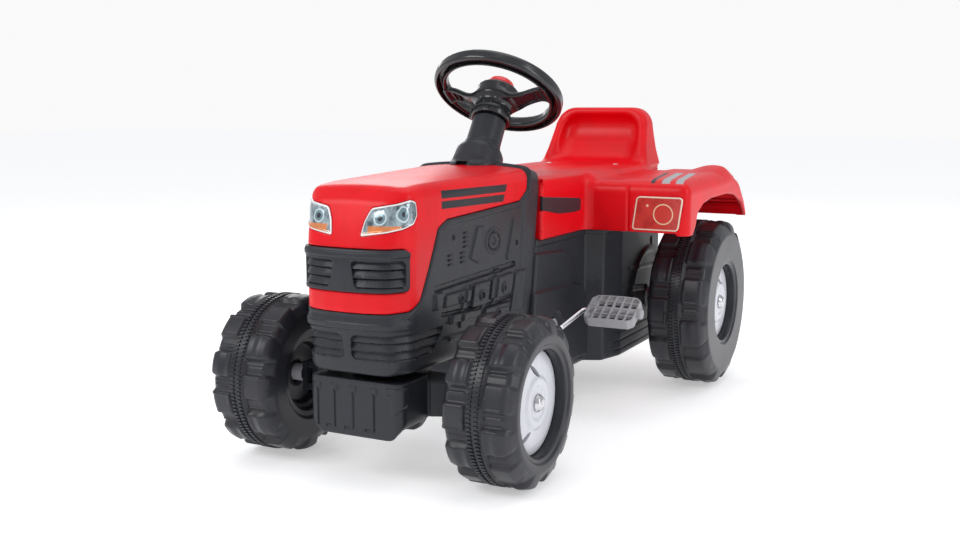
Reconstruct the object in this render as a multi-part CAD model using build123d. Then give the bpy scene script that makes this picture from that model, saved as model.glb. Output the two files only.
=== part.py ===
"""Child's pedal tractor: a plastic ride-on with a chain drive and a steered front axle.

Millimetres, +Z up, the front towards -Y and the tractor's left side towards +X. The origin is on the
ground at the middle of the overall box. Each node is one separate piece, written to parts/NODE.step.
"""

from build123d import *
import os
from math import cos, pi, radians, sin, tan

# ---------------------------------------------------------------- driving dimensions
FRONT_TYRE_R = 103.5
FRONT_TYRE_WIDTH = 93.0
FRONT_RIM_R = 62.4
FRONT_TRACK = 329.4
FRONT_AXLE_Y = -314.0
REAR_TYRE_R = 132.8
REAR_TYRE_WIDTH = 96.6
REAR_RIM_R = 59.3
REAR_TRACK = 419.2
WHEELBASE = 605.0
RIM_INSET = 17.5
LUG_HEIGHT = 4.5
LUGS_PER_SIDE = 12
TYRE_WALL = 3.0
RIM_THICK = 2.6

NOSE_Y = -422.0
TAIL_Y = 425.0
NOSE_HALF_WIDTH = 73.0
DASH_HALF_WIDTH = 86.0
HOOD_TOP_FRONT = 348.0
HOOD_TOP_REAR = 366.0
BODY_WALL = 3.5
SEAM_GAP = 0.3
GRILLE_PROUD = 3.0
LAMP_DEPTH = 1.5

FRAME_HALF_WIDTH = 86.0
FRAME_REAR_HALF_WIDTH = 124.0
FRAME_BOTTOM = 56.0
FRAME_TOP = 262.0
FRAME_REAR_Y = 345.0

SEAT_HALF_WIDTH = 92.0
SEAT_TOP = 350.0
SEAT_FRONT_Y = -54.0
SEAT_WALL = 4.0
SEAT_BACK_TOP = 444.0
SEAT_BACK_HALF_WIDTH = 78.0
BACK_WING = 8.0
BACK_HEAD_POWER = 0.45
HOLLOW_HEAD_POWER = 0.3
FENDER_HALF_WIDTH = 252.0
FENDER_FRONT_Y = 88.0
FENDER_TOP = 340.0
FENDER_BOTTOM = 259.0

STEER_TILT = 33.5
STEER_CENTRE = (0.0, -18.0, 465.0)
STEER_WHEEL_R = 93.9
STEER_RIM_WIDTH = 19.0
STEER_RIM_HEIGHT = 19.0
STEER_SPOKE_WIDTH = 32.0
STEER_ROD_R = 4.5
COLUMN_R = 20.0
COLUMN_WALL = 3.0
HUB_R = 27.0
BUTTON_R = 20.0
BUTTON_TRAVEL = 4.0
PITMAN_LENGTH = 22.0
STEERING_ARM = 34.0
STEER_LOCK = 33.0

KINGPIN_X = 105.0
KINGPIN_R = 4.0
STUB_R = 5.0
BEAM_HEIGHT = 44.0
BEAM_DEPTH = 50.0
WEIGHT_BOX_HALF_WIDTH = 58.0
WEIGHT_BOX_FRONT_Y = -398.0
WEIGHT_BOX_BOTTOM = 57.0

CRANK_Y = -20.0
CRANK_Z = 129.0
CRANK_ROD_R = 4.0
PEDAL_OFFSET = (53.0, 22.5)
PEDAL_WIDTH = 76.0
PEDAL_LENGTH = 54.0
PEDAL_DEPTH = 13.0
PEDAL_TILT = 31.0
PEDAL_INNER_X = 122.0
CRANK_TEETH = 20
AXLE_TEETH = 16
CHAIN_PITCH = 11.0
CHAIN_X = -40.0
REAR_AXLE_R = 6.0

RUN_FIT = 0.06
PRESS_FIT = 0.02
FREE_GAP = 0.4
SCREW_R = 2.2
SCREW_HEAD_R = 4.5
SCREW_HEAD_H = 3.0
CAP_R = 11.0
CAP_H = 6.0
LOWER_BUSH_R = 11.0
FRAME_BUSH_R = 11.0

# ---------------------------------------------------------------- derived places
FRONT_AXLE_Z = FRONT_TYRE_R
REAR_AXLE_Z = REAR_TYRE_R
REAR_AXLE_Y = FRONT_AXLE_Y + WHEELBASE
FRONT_WHEEL_X = FRONT_TRACK / 2
REAR_WHEEL_X = REAR_TRACK / 2
BEAM_BOTTOM = FRONT_AXLE_Z - BEAM_HEIGHT * 0.625
BEAM_TOP = BEAM_BOTTOM + BEAM_HEIGHT
NOSE_BOTTOM = BEAM_TOP + 18.0
HOOD_FRONT_LOW = NOSE_BOTTOM + 84.0
DASH_TOP_Y = -62.0
DASH_LOW_Y = -92.0
DASH_TOP_Z = HOOD_TOP_REAR - 24.0
STEER_AXIS = (0, sin(radians(STEER_TILT)), cos(radians(STEER_TILT)))
STEER = Plane(origin=STEER_CENTRE, x_dir=(1, 0, 0), z_dir=STEER_AXIS)


def on_steer(height):
    """Distance down the steering axis, from the wheel's centre, to a height above the ground."""
    return (STEER_CENTRE[2] - height) / cos(radians(STEER_TILT))


# ---------------------------------------------------------------- helpers
def block(x, y, z):
    """Box between the limits (low, high) on each axis."""
    size = (x[1] - x[0], y[1] - y[0], z[1] - z[0])
    return Pos((x[0] + x[1]) / 2, (y[0] + y[1]) / 2, (z[0] + z[1]) / 2) * Box(*size)


def rod_x(radius, x, y, z):
    """Cylinder along X between the limits x."""
    return Pos((x[0] + x[1]) / 2, y, z) * Rot(0, 90, 0) * Cylinder(radius, x[1] - x[0])


def rod_y(radius, x, y, z):
    """Cylinder along Y between the limits y."""
    return Pos(x, (y[0] + y[1]) / 2, z) * Rot(90, 0, 0) * Cylinder(radius, y[1] - y[0])


def rod_z(radius, x, y, z):
    """Cylinder along Z between the limits z."""
    return Pos(x, y, (z[0] + z[1]) / 2) * Cylinder(radius, z[1] - z[0])


def side_prism(points, x, inset=0.0):
    """Outline of (y, z) points, drawn in by inset, extruded between the limits x."""
    face = make_face(Polyline(*points, close=True))
    if inset:
        face = offset(face, -inset, kind=Kind.INTERSECTION)
    return extrude(Plane(origin=(x[0], 0, 0), x_dir=(0, 1, 0), z_dir=(1, 0, 0)) * face, x[1] - x[0])


def front_prism(points, y):
    """Outline of (x, z) points extruded between the limits y."""
    face = make_face(Polyline(*points, close=True))
    return extrude(Plane(origin=(0, y[1], 0), x_dir=(1, 0, 0), z_dir=(0, -1, 0)) * face, y[1] - y[0])


def turned_x(points):
    """Outline of (x, radius) points turned about the X axis."""
    return revolve(make_face(Polyline(*points, close=True)), Axis.X)


def turned_steer(points):
    """Outline of (radius, height) points turned about the steering axis."""
    return STEER * revolve(Plane.XZ * make_face(Polyline(*points, close=True)), Axis.Z)


def other_side(shape):
    """The same piece on the tractor's other side."""
    return mirror(shape, about=Plane.YZ)


def screw(length):
    """Pan-head screw along Z, its head's underside at the origin and its shank downwards."""
    head = Pos(0, 0, SCREW_HEAD_H / 2) * Cylinder(SCREW_HEAD_R, SCREW_HEAD_H)
    head = fillet(head.edges().group_by(Axis.Z)[-1], 1.2)
    recess = Pos(0, 0, SCREW_HEAD_H) * (Box(5, 1, 2) + Box(1, 5, 2))
    return head + Pos(0, 0, -length / 2) * Cylinder(SCREW_R, length) - recess


def screw_hole(length):
    """Clearance for the shank of a screw that lies as screw() makes it."""
    return Pos(0, 0, -length / 2) * Cylinder(SCREW_R + PRESS_FIT, length)


# ---------------------------------------------------------------- front body: hood and engine housing
def body_outline():
    """Side view of the whole front body, as (y, z) points."""
    return [
        (NOSE_Y + 16, NOSE_BOTTOM),
        (NOSE_Y, HOOD_FRONT_LOW),
        (NOSE_Y, HOOD_FRONT_LOW + 66),
        (NOSE_Y + 22, HOOD_TOP_FRONT - 12),
        (NOSE_Y + 46, HOOD_TOP_FRONT),
        (DASH_TOP_Y - 28, HOOD_TOP_REAR),
        (DASH_TOP_Y - 4, HOOD_TOP_REAR - 5),
        (DASH_TOP_Y, DASH_TOP_Z),
        (DASH_LOW_Y, NOSE_BOTTOM),
    ]


def body_plan(inset):
    """Plan view of the front body: a bowed nose, rounded corners and sides that widen to the dash."""
    bow = ThreePointArc((-54, NOSE_Y + 12), (0, NOSE_Y), (54, NOSE_Y + 12))
    sides = Polyline(
        (54, NOSE_Y + 12),
        (NOSE_HALF_WIDTH, NOSE_Y + 40),
        (DASH_HALF_WIDTH, DASH_LOW_Y),
        (DASH_HALF_WIDTH, DASH_TOP_Y + 2),
        (-DASH_HALF_WIDTH, DASH_TOP_Y + 2),
        (-DASH_HALF_WIDTH, DASH_LOW_Y),
        (-NOSE_HALF_WIDTH, NOSE_Y + 40),
        (-54, NOSE_Y + 12),
    )
    face = make_face(bow + sides)
    corners = [v for v in face.vertices() if v.Y < NOSE_Y + 60]
    face = fillet(corners, 16)
    return offset(face, -inset) if inset else face


def front_body(inset):
    """The front body as a solid, with every face drawn in by inset."""
    plan = extrude(Pos(0, 0, NOSE_BOTTOM - 10) * body_plan(inset), HOOD_TOP_REAR - NOSE_BOTTOM + 30)
    return plan & side_prism(body_outline(), (-DASH_HALF_WIDTH - 5, DASH_HALF_WIDTH + 5), inset)


def hood_region(grow):
    """The part of the front body that the hood covers, in side view."""
    low = HOOD_FRONT_LOW
    points = [
        (DASH_TOP_Y - 34, HOOD_TOP_REAR + 20),
        (DASH_TOP_Y - 38, low + 112),
        (DASH_TOP_Y - 58, low + 105),
        (NOSE_Y + 118, low + 89),
        (NOSE_Y + 106, low + 80),
        (NOSE_Y + 70, low + 28),
        (NOSE_Y + 52, low + 4),
        (NOSE_Y + 38, low),
        (NOSE_Y - 20, low),
        (NOSE_Y - 20, HOOD_TOP_REAR + 20),
    ]
    return side_prism(points, (-DASH_HALF_WIDTH - 10, DASH_HALF_WIDTH + 10), -grow)


GRILLE_Z = (HOOD_FRONT_LOW + 15, HOOD_FRONT_LOW + 61)
GRILLE_BACK_Y = NOSE_Y + 46
LAMP_Z = (HOOD_FRONT_LOW + 77, HOOD_TOP_FRONT - 13)
LAMP_X = (21.0, NOSE_HALF_WIDTH + 6)
LAMP_BACK_Y = NOSE_Y + 62
BRIDGE_Z = 296.0
HOOD_BOSS_AT = [(x, y) for x in (-45, 45) for y in (NOSE_Y + 140, DASH_TOP_Y - 60)]
HOOD_SCREW = 26.0
FRAME_SCREW_AT = [(x, z) for x in (-58, 58) for z in (NOSE_BOTTOM + 22, FRAME_TOP - 26)]
FRAME_SCREW = 14.0
HOUSING_SCREW_AT = [(x, y) for x in (-32, 32) for y in (FRONT_AXLE_Y - 12, FRONT_AXLE_Y + 12)]
HOUSING_SCREW = 16.0


def grille_region(gap):
    return block((-NOSE_HALF_WIDTH - 9 + gap, NOSE_HALF_WIDTH + 9 - gap), (NOSE_Y - 9, GRILLE_BACK_Y - gap),
                 (GRILLE_Z[0] + gap, GRILLE_Z[1] - gap))


def lamp_region(side, gap):
    low, high = LAMP_X[0] + gap, LAMP_X[1]
    x = (low, high) if side > 0 else (-high, -low)
    return block(x, (NOSE_Y - 9, LAMP_BACK_Y - gap), (LAMP_Z[0] + gap, LAMP_Z[1] - gap))


def hood():
    outer = front_body(0)
    shell = (outer - front_body(BODY_WALL)) & hood_region(0)
    shell -= grille_region(0)
    skin = outer - front_body(LAMP_DEPTH)
    shell -= skin & (lamp_region(1, 0) + lamp_region(-1, 0))
    shell -= STEER * Pos(0, 0, -120) * Cylinder(COLUMN_R + FREE_GAP, 120)
    inside = front_body(BODY_WALL)
    for x, y in HOOD_BOSS_AT:
        boss = rod_z(7, x, y, (BRIDGE_Z + SEAM_GAP, HOOD_TOP_REAR)) & inside
        shell = shell + boss - Pos(x, y, BRIDGE_Z - BODY_WALL) * Rot(180, 0, 0) * screw_hole(HOOD_SCREW + 1)
    return shell


def upper_grille():
    """Black insert in the hood's nose, a little proud, with three long slots each side of a bar."""
    insert = (front_body(-GRILLE_PROUD) - front_body(BODY_WALL)) & grille_region(SEAM_GAP)
    for z in (GRILLE_Z[0] + 12, GRILLE_Z[0] + 23, GRILLE_Z[0] + 34):
        for x in ((12, 58), (-58, -12)):
            insert -= block(x, (NOSE_Y - 9, NOSE_Y + 14), (z - 2.5, z + 2.5)) - front_body(0)
    return insert


def headlight(side):
    return (front_body(0) - front_body(LAMP_DEPTH - 0.05)) & lamp_region(side, SEAM_GAP)


def engine_housing():
    shell = front_body(0) - front_body(BODY_WALL) - hood_region(SEAM_GAP)
    inside = front_body(BODY_WALL)
    bridge = block((-90, 90), (NOSE_Y + 120, DASH_TOP_Y), (BRIDGE_Z - BODY_WALL, BRIDGE_Z)) & inside
    shell += bridge
    for x, y in HOOD_BOSS_AT:
        shell -= rod_z(SCREW_R + PRESS_FIT, x, y, (BRIDGE_Z - 9, BRIDGE_Z + 9))
    for z in (NOSE_BOTTOM + 24, NOSE_BOTTOM + 37, NOSE_BOTTOM + 50):
        for x in ((12, 80), (-80, -12)):
            groove = block(x, (NOSE_Y - 9, NOSE_Y + 60), (z - 3, z + 3))
            shell -= groove - front_body(BODY_WALL / 2)
    shell -= STEER * Pos(0, 0, -on_steer(NOSE_BOTTOM)) * Cylinder(LOWER_BUSH_R + PRESS_FIT, 40)
    shell -= STEER * Pos(0, 0, COLUMN_FOOT / 2) * Cylinder(COLUMN_R + PRESS_FIT, -COLUMN_FOOT + 40)
    for x, z in FRAME_SCREW_AT:
        shell -= rod_y(SCREW_R + PRESS_FIT, x, (DASH_LOW_Y - 20, DASH_TOP_Y + 10), z)
    for x, y in HOUSING_SCREW_AT:
        shell -= rod_z(SCREW_R + PRESS_FIT, x, y, (NOSE_BOTTOM - 5, NOSE_BOTTOM + 9))
    return shell


# ---------------------------------------------------------------- chassis
def frame_outline():
    """Side view of the rear frame, as (y, z) points; its front follows the slope of the dash."""
    slope = (DASH_TOP_Y - DASH_LOW_Y) / (DASH_TOP_Z - NOSE_BOTTOM)
    return [
        (DASH_LOW_Y + SEAM_GAP + 0.1, NOSE_BOTTOM),
        (DASH_LOW_Y + SEAM_GAP + 0.1 + slope * (FRAME_TOP - NOSE_BOTTOM), FRAME_TOP),
        (FRAME_REAR_Y, FRAME_TOP),
        (FRAME_REAR_Y, FRAME_BOTTOM + 40),
        (FRAME_REAR_Y - 20, FRAME_BOTTOM),
        (DASH_LOW_Y + 12, FRAME_BOTTOM),
    ]


def frame_solid(inset):
    """The rear frame with every face but its bottom drawn in by inset."""
    mid, rear = FRAME_HALF_WIDTH, FRAME_REAR_HALF_WIDTH
    side = [(mid, DASH_LOW_Y - 20), (mid, 105), (rear - 12, 118), (rear, 165), (rear, FRAME_REAR_Y + 20)]
    plan = make_face(Polyline(*side, *[(-x, y) for x, y in reversed(side)], close=True))
    if inset:
        plan = offset(plan, -inset, kind=Kind.INTERSECTION)
    upright = extrude(Pos(0, 0, FRAME_BOTTOM - 20) * plan, FRAME_TOP - FRAME_BOTTOM + 40)
    body = upright & side_prism(frame_outline(), (-rear - 5, rear + 5), inset)
    if inset:
        floor = block((-rear, rear), (DASH_LOW_Y + 17, FRAME_REAR_Y - 26), (FRAME_BOTTOM - 5, FRAME_BOTTOM + 10))
        body += upright & floor
    return body


SEAT_POST_AT = [(x, y) for x in (-60, 60) for y in (SEAT_FRONT_Y + 40, FRAME_REAR_Y - 45)]
SEAT_SCREW = 18.0
AXLE_BOSS_R = 16.0


def chassis():
    shell = frame_solid(0) - frame_solid(SEAT_WALL)
    for x, y in SEAT_POST_AT:
        shell += rod_z(9, x, y, (FRAME_TOP - 1, SEAT_TOP - SEAT_WALL - SEAM_GAP))
        shell -= Pos(x, y, SEAT_TOP - SCREW_HEAD_H) * screw_hole(SEAT_SCREW + 1)
    for side in (1, -1):
        x = sorted((side * (FRAME_HALF_WIDTH - 14), side * FRAME_HALF_WIDTH))
        shell += rod_x(AXLE_BOSS_R, x, CRANK_Y, CRANK_Z)
        x = sorted((side * (FRAME_REAR_HALF_WIDTH - 16), side * FRAME_REAR_HALF_WIDTH))
        shell += rod_x(AXLE_BOSS_R, x, REAR_AXLE_Y, REAR_AXLE_Z)
    wide = (-FRAME_REAR_HALF_WIDTH - 5, FRAME_REAR_HALF_WIDTH + 5)
    shell -= rod_x(FRAME_BUSH_R + PRESS_FIT, wide, CRANK_Y, CRANK_Z)
    shell -= rod_x(FRAME_BUSH_R + PRESS_FIT, wide, REAR_AXLE_Y, REAR_AXLE_Z)
    for x, z in FRAME_SCREW_AT:
        shell -= rod_y(SCREW_R + PRESS_FIT, x, (DASH_LOW_Y - 20, DASH_TOP_Y + 10), z)
    return shell


def frame_bush(side, half_width, shaft_r, y, z):
    """Flanged plastic bush pressed into a frame wall, its flange outside."""
    tube = rod_x(FRAME_BUSH_R, (half_width - 16, half_width + SEAM_GAP), y, z)
    flange = rod_x(FRAME_BUSH_R + 4, (half_width + SEAM_GAP, half_width + SEAM_GAP + 4), y, z)
    bush = tube + flange - rod_x(shaft_r + RUN_FIT, (half_width - 30, half_width + 20), y, z)
    return bush if side > 0 else other_side(bush)


# ---------------------------------------------------------------- seat body
def seat_shell_outline():
    return [
        (SEAT_FRONT_Y, FRAME_TOP + SEAM_GAP),
        (SEAT_FRONT_Y, SEAT_TOP - 14),
        (SEAT_FRONT_Y + 14, SEAT_TOP),
        (TAIL_Y - 8, SEAT_TOP),
        (TAIL_Y, FRAME_TOP + SEAM_GAP),
    ]


def fender_outline():
    top = FENDER_TOP
    return [
        (FENDER_FRONT_Y, FENDER_BOTTOM),
        (FENDER_FRONT_Y, top - 5),
        (FENDER_FRONT_Y + 10, top),
        (TAIL_Y - 95, top),
        (TAIL_Y - 40, top - 32),
        (TAIL_Y, FENDER_BOTTOM + 12),
        (TAIL_Y, FENDER_BOTTOM),
    ]


def fender_arch():
    """Opening in the fender's outer wall, over the wheel."""
    low = FENDER_BOTTOM - 5
    return side_prism([(FENDER_FRONT_Y + 40, low), (FENDER_FRONT_Y + 40, low + 37),
                       (FENDER_FRONT_Y + 72, low + 50), (REAR_AXLE_Y - 40, low + 56),
                       (REAR_AXLE_Y + 40, low + 50), (TAIL_Y - 34, low + 30), (TAIL_Y - 20, low)],
                      (FENDER_HALF_WIDTH - 12, FENDER_HALF_WIDTH + 5))


def fender():
    """Left fender: a shell open below, with an arch cut in its outer wall."""
    outer = side_prism(fender_outline(), (SEAT_HALF_WIDTH - SEAT_WALL, FENDER_HALF_WIDTH))
    inner = side_prism(fender_outline(), (SEAT_HALF_WIDTH, FENDER_HALF_WIDTH - SEAT_WALL), SEAT_WALL)
    inner += block((SEAT_HALF_WIDTH, FENDER_HALF_WIDTH - SEAT_WALL),
                   (FENDER_FRONT_Y + SEAT_WALL, TAIL_Y - SEAT_WALL), (FENDER_BOTTOM - 9, FENDER_BOTTOM + 9))
    return outer - inner - fender_arch()


def seat_back_outline():
    """Front view of the seat back: flared foot, upright sides and a round head."""
    half, top, foot = SEAT_BACK_HALF_WIDTH, SEAT_BACK_TOP, SEAT_TOP - 2
    side = [(half + 14, foot), (half + 3, foot + 30), (half - 2, foot + 50)]
    spring = foot + 50
    head = [((half - 2) * cos(radians(a)) ** BACK_HEAD_POWER, spring + (top - spring) * sin(radians(a)))
            for a in (20, 40, 60, 75, 90)]
    right = side + head[:-1]
    return right + [head[-1]] + [(-x, z) for x, z in reversed(right)]


def seat_back_hollow():
    """Front view of the bucket's hollow: upright sides, so nothing overhangs the saddle, and a round head."""
    half, low, spring = SEAT_BACK_HALF_WIDTH - BACK_WING, SEAT_TOP - 2, SEAT_TOP + 48
    rise = SEAT_BACK_TOP - BACK_WING - spring
    head = [(half * cos(radians(a)) ** HOLLOW_HEAD_POWER, spring + rise * sin(radians(a)))
            for a in (20, 40, 60, 75, 90)]
    right = [(half, low), (half, spring)] + head[:-1]
    return right + [head[-1]] + [(-x, z) for x, z in reversed(right)]


def seat_back():
    """Bucket back: a panel with side wings, leaning back, cut to a sloping front edge."""
    slope = side_prism([(TAIL_Y - 95, SEAT_TOP - 2), (TAIL_Y - 88, SEAT_TOP + 4),
                        (TAIL_Y - 30, SEAT_BACK_TOP - 20), (TAIL_Y - 27, SEAT_BACK_TOP + 5), (TAIL_Y - 14, SEAT_BACK_TOP + 5),
                        (TAIL_Y - 8, SEAT_TOP - 2)], (-130, 130))
    hollow_front = side_prism([(TAIL_Y - 140, SEAT_TOP), (TAIL_Y - 140, SEAT_BACK_TOP + 20),
                               (TAIL_Y - 20, SEAT_BACK_TOP + 20), (TAIL_Y - 24, SEAT_TOP)], (-130, 130))
    outer = front_prism(seat_back_outline(), (TAIL_Y - 100, TAIL_Y)) & slope
    inner = front_prism(seat_back_hollow(), (TAIL_Y - 150, TAIL_Y)) & hollow_front
    return outer - inner


TRIM_Y = (SEAT_FRONT_Y + 14, FENDER_FRONT_Y - 18)
TRIM_Z = (SEAT_TOP - 61, SEAT_TOP - 37)
TRIM_DEPTH = 2.0
LAMP_PLATE_X = (172.0, 240.0)
LAMP_PLATE_Z = (FENDER_BOTTOM + 8, FENDER_TOP - 24)
LAMP_PLATE_DEPTH = 1.2


def seat_body():
    """Red moulding: saddle, seat back and both fenders in one piece, open below."""
    saddle = side_prism(seat_shell_outline(), (-SEAT_HALF_WIDTH, SEAT_HALF_WIDTH))
    inside = side_prism(seat_shell_outline(), (-SEAT_HALF_WIDTH + SEAT_WALL, SEAT_HALF_WIDTH - SEAT_WALL), SEAT_WALL)
    inside += block((-SEAT_HALF_WIDTH + SEAT_WALL, SEAT_HALF_WIDTH - SEAT_WALL),
                    (SEAT_FRONT_Y + SEAT_WALL, TAIL_Y - SEAT_WALL), (FRAME_TOP - 5, FRAME_TOP + 9))
    wing = fender()
    body = saddle + seat_back() + wing + other_side(wing) - inside
    for side in (1, -1):
        x = sorted((side * (SEAT_HALF_WIDTH - TRIM_DEPTH), side * (SEAT_HALF_WIDTH + 5)))
        body -= block(x, TRIM_Y, TRIM_Z)
        x = sorted((side * LAMP_PLATE_X[0], side * LAMP_PLATE_X[1]))
        body -= block(x, (FENDER_FRONT_Y - 5, FENDER_FRONT_Y + LAMP_PLATE_DEPTH), LAMP_PLATE_Z)
    over_frame = FRAME_REAR_HALF_WIDTH + SEAM_GAP
    body -= block((-over_frame, over_frame), (SEAT_FRONT_Y - 5, FRAME_REAR_Y + SEAM_GAP),
                  (FENDER_BOTTOM - 5, FRAME_TOP + SEAM_GAP))
    for x, y in SEAT_POST_AT:
        body -= rod_z(SCREW_R + PRESS_FIT, x, y, (SEAT_TOP - 9, SEAT_TOP + 5))
        body -= rod_z(SCREW_HEAD_R + 0.3, x, y, (SEAT_TOP - SCREW_HEAD_H, SEAT_TOP + 5))
    return body


def side_trim(side):
    x = sorted((side * (SEAT_HALF_WIDTH - TRIM_DEPTH), side * (SEAT_HALF_WIDTH + 1)))
    gap = SEAM_GAP
    return block(x, (TRIM_Y[0] + gap, TRIM_Y[1] - gap), (TRIM_Z[0] + gap, TRIM_Z[1] - gap))


def fender_lamp(side):
    x = sorted((side * (LAMP_PLATE_X[0] + SEAM_GAP), side * (LAMP_PLATE_X[1] - SEAM_GAP)))
    return block(x, (FENDER_FRONT_Y, FENDER_FRONT_Y + LAMP_PLATE_DEPTH),
                 (LAMP_PLATE_Z[0] + SEAM_GAP, LAMP_PLATE_Z[1] - SEAM_GAP))


# ---------------------------------------------------------------- wheels
def tyre(radius, width, rim_r, bore_r, inner_r, lug_shift):
    """Blow-moulded hollow tyre body about X, its outer side towards +X, with two rows of lugs."""
    half, tread = width / 2, radius - LUG_HEIGHT
    floor_out, floor_in = half - RIM_INSET - RIM_THICK - SEAM_GAP, -half + 30
    outline = [
        (floor_in, bore_r), (floor_in, inner_r), (-half + 6, inner_r), (-half + 6, inner_r + 9),
        (-half, inner_r + 12), (-half, tread - 14), (-half + 9, tread), (half - 9, tread),
        (half, tread - 14), (half, rim_r + 4), (half - 5, rim_r + 1), (floor_out, rim_r + 1), (floor_out, bore_r),
    ]
    face = make_face(Polyline(*outline, close=True))
    skin = face - offset(face, -TYRE_WALL, kind=Kind.INTERSECTION)
    body = revolve(skin, Axis.X)
    vent = rod_x(2.5, (-half - 5, -half + 9), 0, inner_r + 20)
    low, high = tread - 1.0, radius
    rows = []
    for side, turn in ((1, 0.0), (-1, lug_shift)):
        edge = half - 3
        ring = turned_x([(side * 9, low), (side * 9, high - 1), (side * 11, high), (side * (edge - 9), high),
                         (side * edge, high - 9), (side * edge, low - 8), (side * (edge - 7), low)])
        step = 360 / LUGS_PER_SIDE
        arc = radius * radians(step) * 0.56
        bars = [Rot(turn + step * i, 0, 0) * Pos(side * edge / 2, 0, -radius + 5) * Box(edge + 20, arc, 40)
                for i in range(LUGS_PER_SIDE)]
        rows.append(ring & Compound(children=bars))
    return body + rows - vent


def rim(width, rim_r, bore_r, hub_inner_x):
    """White disc with a raised ring, four lens-shaped slots and a hub tube that goes inwards."""
    face_x = width / 2 - RIM_INSET
    disc = turned_x([
        (face_x - RIM_THICK, bore_r), (face_x - RIM_THICK, rim_r), (face_x, rim_r), (face_x + 3, rim_r - 12),
        (face_x + 4, 31), (face_x + 6.5, 28), (face_x + 6.5, 21), (face_x + 5, 18), (face_x + 5, bore_r),
    ])
    tube = turned_x([(hub_inner_x, bore_r), (hub_inner_x, bore_r + 6), (face_x, bore_r + 6), (face_x, bore_r)])
    slot_face = make_face(ThreePointArc((-12, 0), (0, 2.4), (12, 0)) + ThreePointArc((12, 0), (0, -2.4), (-12, 0)))
    wall = Plane(origin=(face_x - 10, 0, 0), x_dir=(0, 1, 0), z_dir=(1, 0, 0))
    slots = [extrude(wall * Rot(0, 0, 45 + 90 * i) * Pos(rim_r * 0.7, 0) * Rot(0, 0, 90) * slot_face, 30)
             for i in range(4)]
    return disc + tube - slots


def hub_cap(face_x, shaft_r):
    """Domed push-on cap over a shaft's end, its rim against the wheel's raised face."""
    foot = face_x + 5 + SEAM_GAP
    dome = turned_x([(foot, 0), (foot, CAP_R), (foot + 2, CAP_R), (foot + 4.5, CAP_R * 0.78),
                     (foot + CAP_H, CAP_R * 0.4), (foot + CAP_H, 0)])
    return dome - rod_x(shaft_r + PRESS_FIT, (foot - 5, foot + CAP_H - 2), 0, 0)


FRONT_FACE_X = FRONT_TYRE_WIDTH / 2 - RIM_INSET
REAR_FACE_X = REAR_TYRE_WIDTH / 2 - RIM_INSET
STUB_BOSS_X = KINGPIN_X + 26.0
FRONT_HUB_INNER = STUB_BOSS_X + FREE_GAP - FRONT_WHEEL_X
REAR_HUB_INNER = FRAME_REAR_HALF_WIDTH + SEAM_GAP + 4 + FREE_GAP - REAR_WHEEL_X
FRONT_BORE = STUB_R + RUN_FIT
REAR_BORE = REAR_AXLE_R + RUN_FIT
PIN_R = 2.0
DRIVE_PIN_X = REAR_WHEEL_X + REAR_HUB_INNER + 9


def at_front(shape, side):
    placed = Pos(FRONT_WHEEL_X, FRONT_AXLE_Y, FRONT_AXLE_Z) * shape
    return placed if side > 0 else other_side(placed)


def at_rear(shape, side):
    placed = Pos(REAR_WHEEL_X, REAR_AXLE_Y, REAR_AXLE_Z) * shape
    return placed if side > 0 else other_side(placed)


# ---------------------------------------------------------------- steering
ROD_TURN = on_steer(BEAM_TOP - 2)
TIE_Z = (BEAM_BOTTOM + 17.4, BEAM_BOTTOM + 21.4)
TIE_Y = FRONT_AXLE_Y + STEERING_ARM
PITMAN_PIN_END = ROD_TURN + (BEAM_TOP - 2 - TIE_Z[0] + 5) / cos(radians(STEER_TILT)) - 16
ARM_Z = (TIE_Z[0] - 6.4, TIE_Z[0] - 0.4)


def steer_point(down, back):
    """Point at a distance down the steering axis and behind it."""
    return STEER.from_local_coords(Vector(0, back, -down))


def steering_rod():
    """Steel rod, bent at its foot into a crank whose pin drives the tie rod."""
    path = FilletPolyline(steer_point(6, 0), steer_point(ROD_TURN, 0), steer_point(ROD_TURN, PITMAN_LENGTH),
                          steer_point(PITMAN_PIN_END, PITMAN_LENGTH), radius=8)
    section = Plane(origin=path @ 0, z_dir=path % 0) * Circle(STEER_ROD_R)
    return sweep(section, path)


def steering_wheel():
    """Ring with a groove beneath, two broad spokes, and a hub whose skirt covers the column tube."""
    outer, inner, high = STEER_WHEEL_R, STEER_WHEEL_R - STEER_RIM_WIDTH, STEER_RIM_HEIGHT / 2
    ring = turned_steer([(inner + 3, -high), (inner, -high + 6), (inner, high - 6), (inner + 5, high),
                         (outer - 5, high), (outer, high - 6), (outer, -high + 6), (outer - 3, -high)])
    groove = turned_steer([(inner + 6, -high - 1), (inner + 6, 1), (outer - 6, 1), (outer - 6, -high - 1)])
    hub = STEER * Pos(0, 0, -20) * Cylinder(HUB_R, 56)
    spokes = []
    for angle in (-10, 190):
        arm = Pos((inner + 20) / 2 + 2, 0, -3) * Box(inner - 16, STEER_SPOKE_WIDTH, 9)
        spokes.append(STEER * Rot(0, 0, angle) * arm)
    well = STEER * Pos(0, 0, 5) * Cylinder(BUTTON_R + FREE_GAP, 14)
    skirt = STEER * Pos(0, 0, -36) * Cylinder(COLUMN_R + FREE_GAP, 36)
    shaft = STEER * Pos(0, 0, -30) * Cylinder(STEER_ROD_R + PRESS_FIT, 60)
    return ring - groove + hub + spokes - well - skirt - shaft


BUTTON_FLOOR = -2.0


def horn_squeaker():
    return turned_steer([(STEER_ROD_R + 2, BUTTON_FLOOR), (14, BUTTON_FLOOR), (14, 3), (STEER_ROD_R + 2, 3)])


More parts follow.
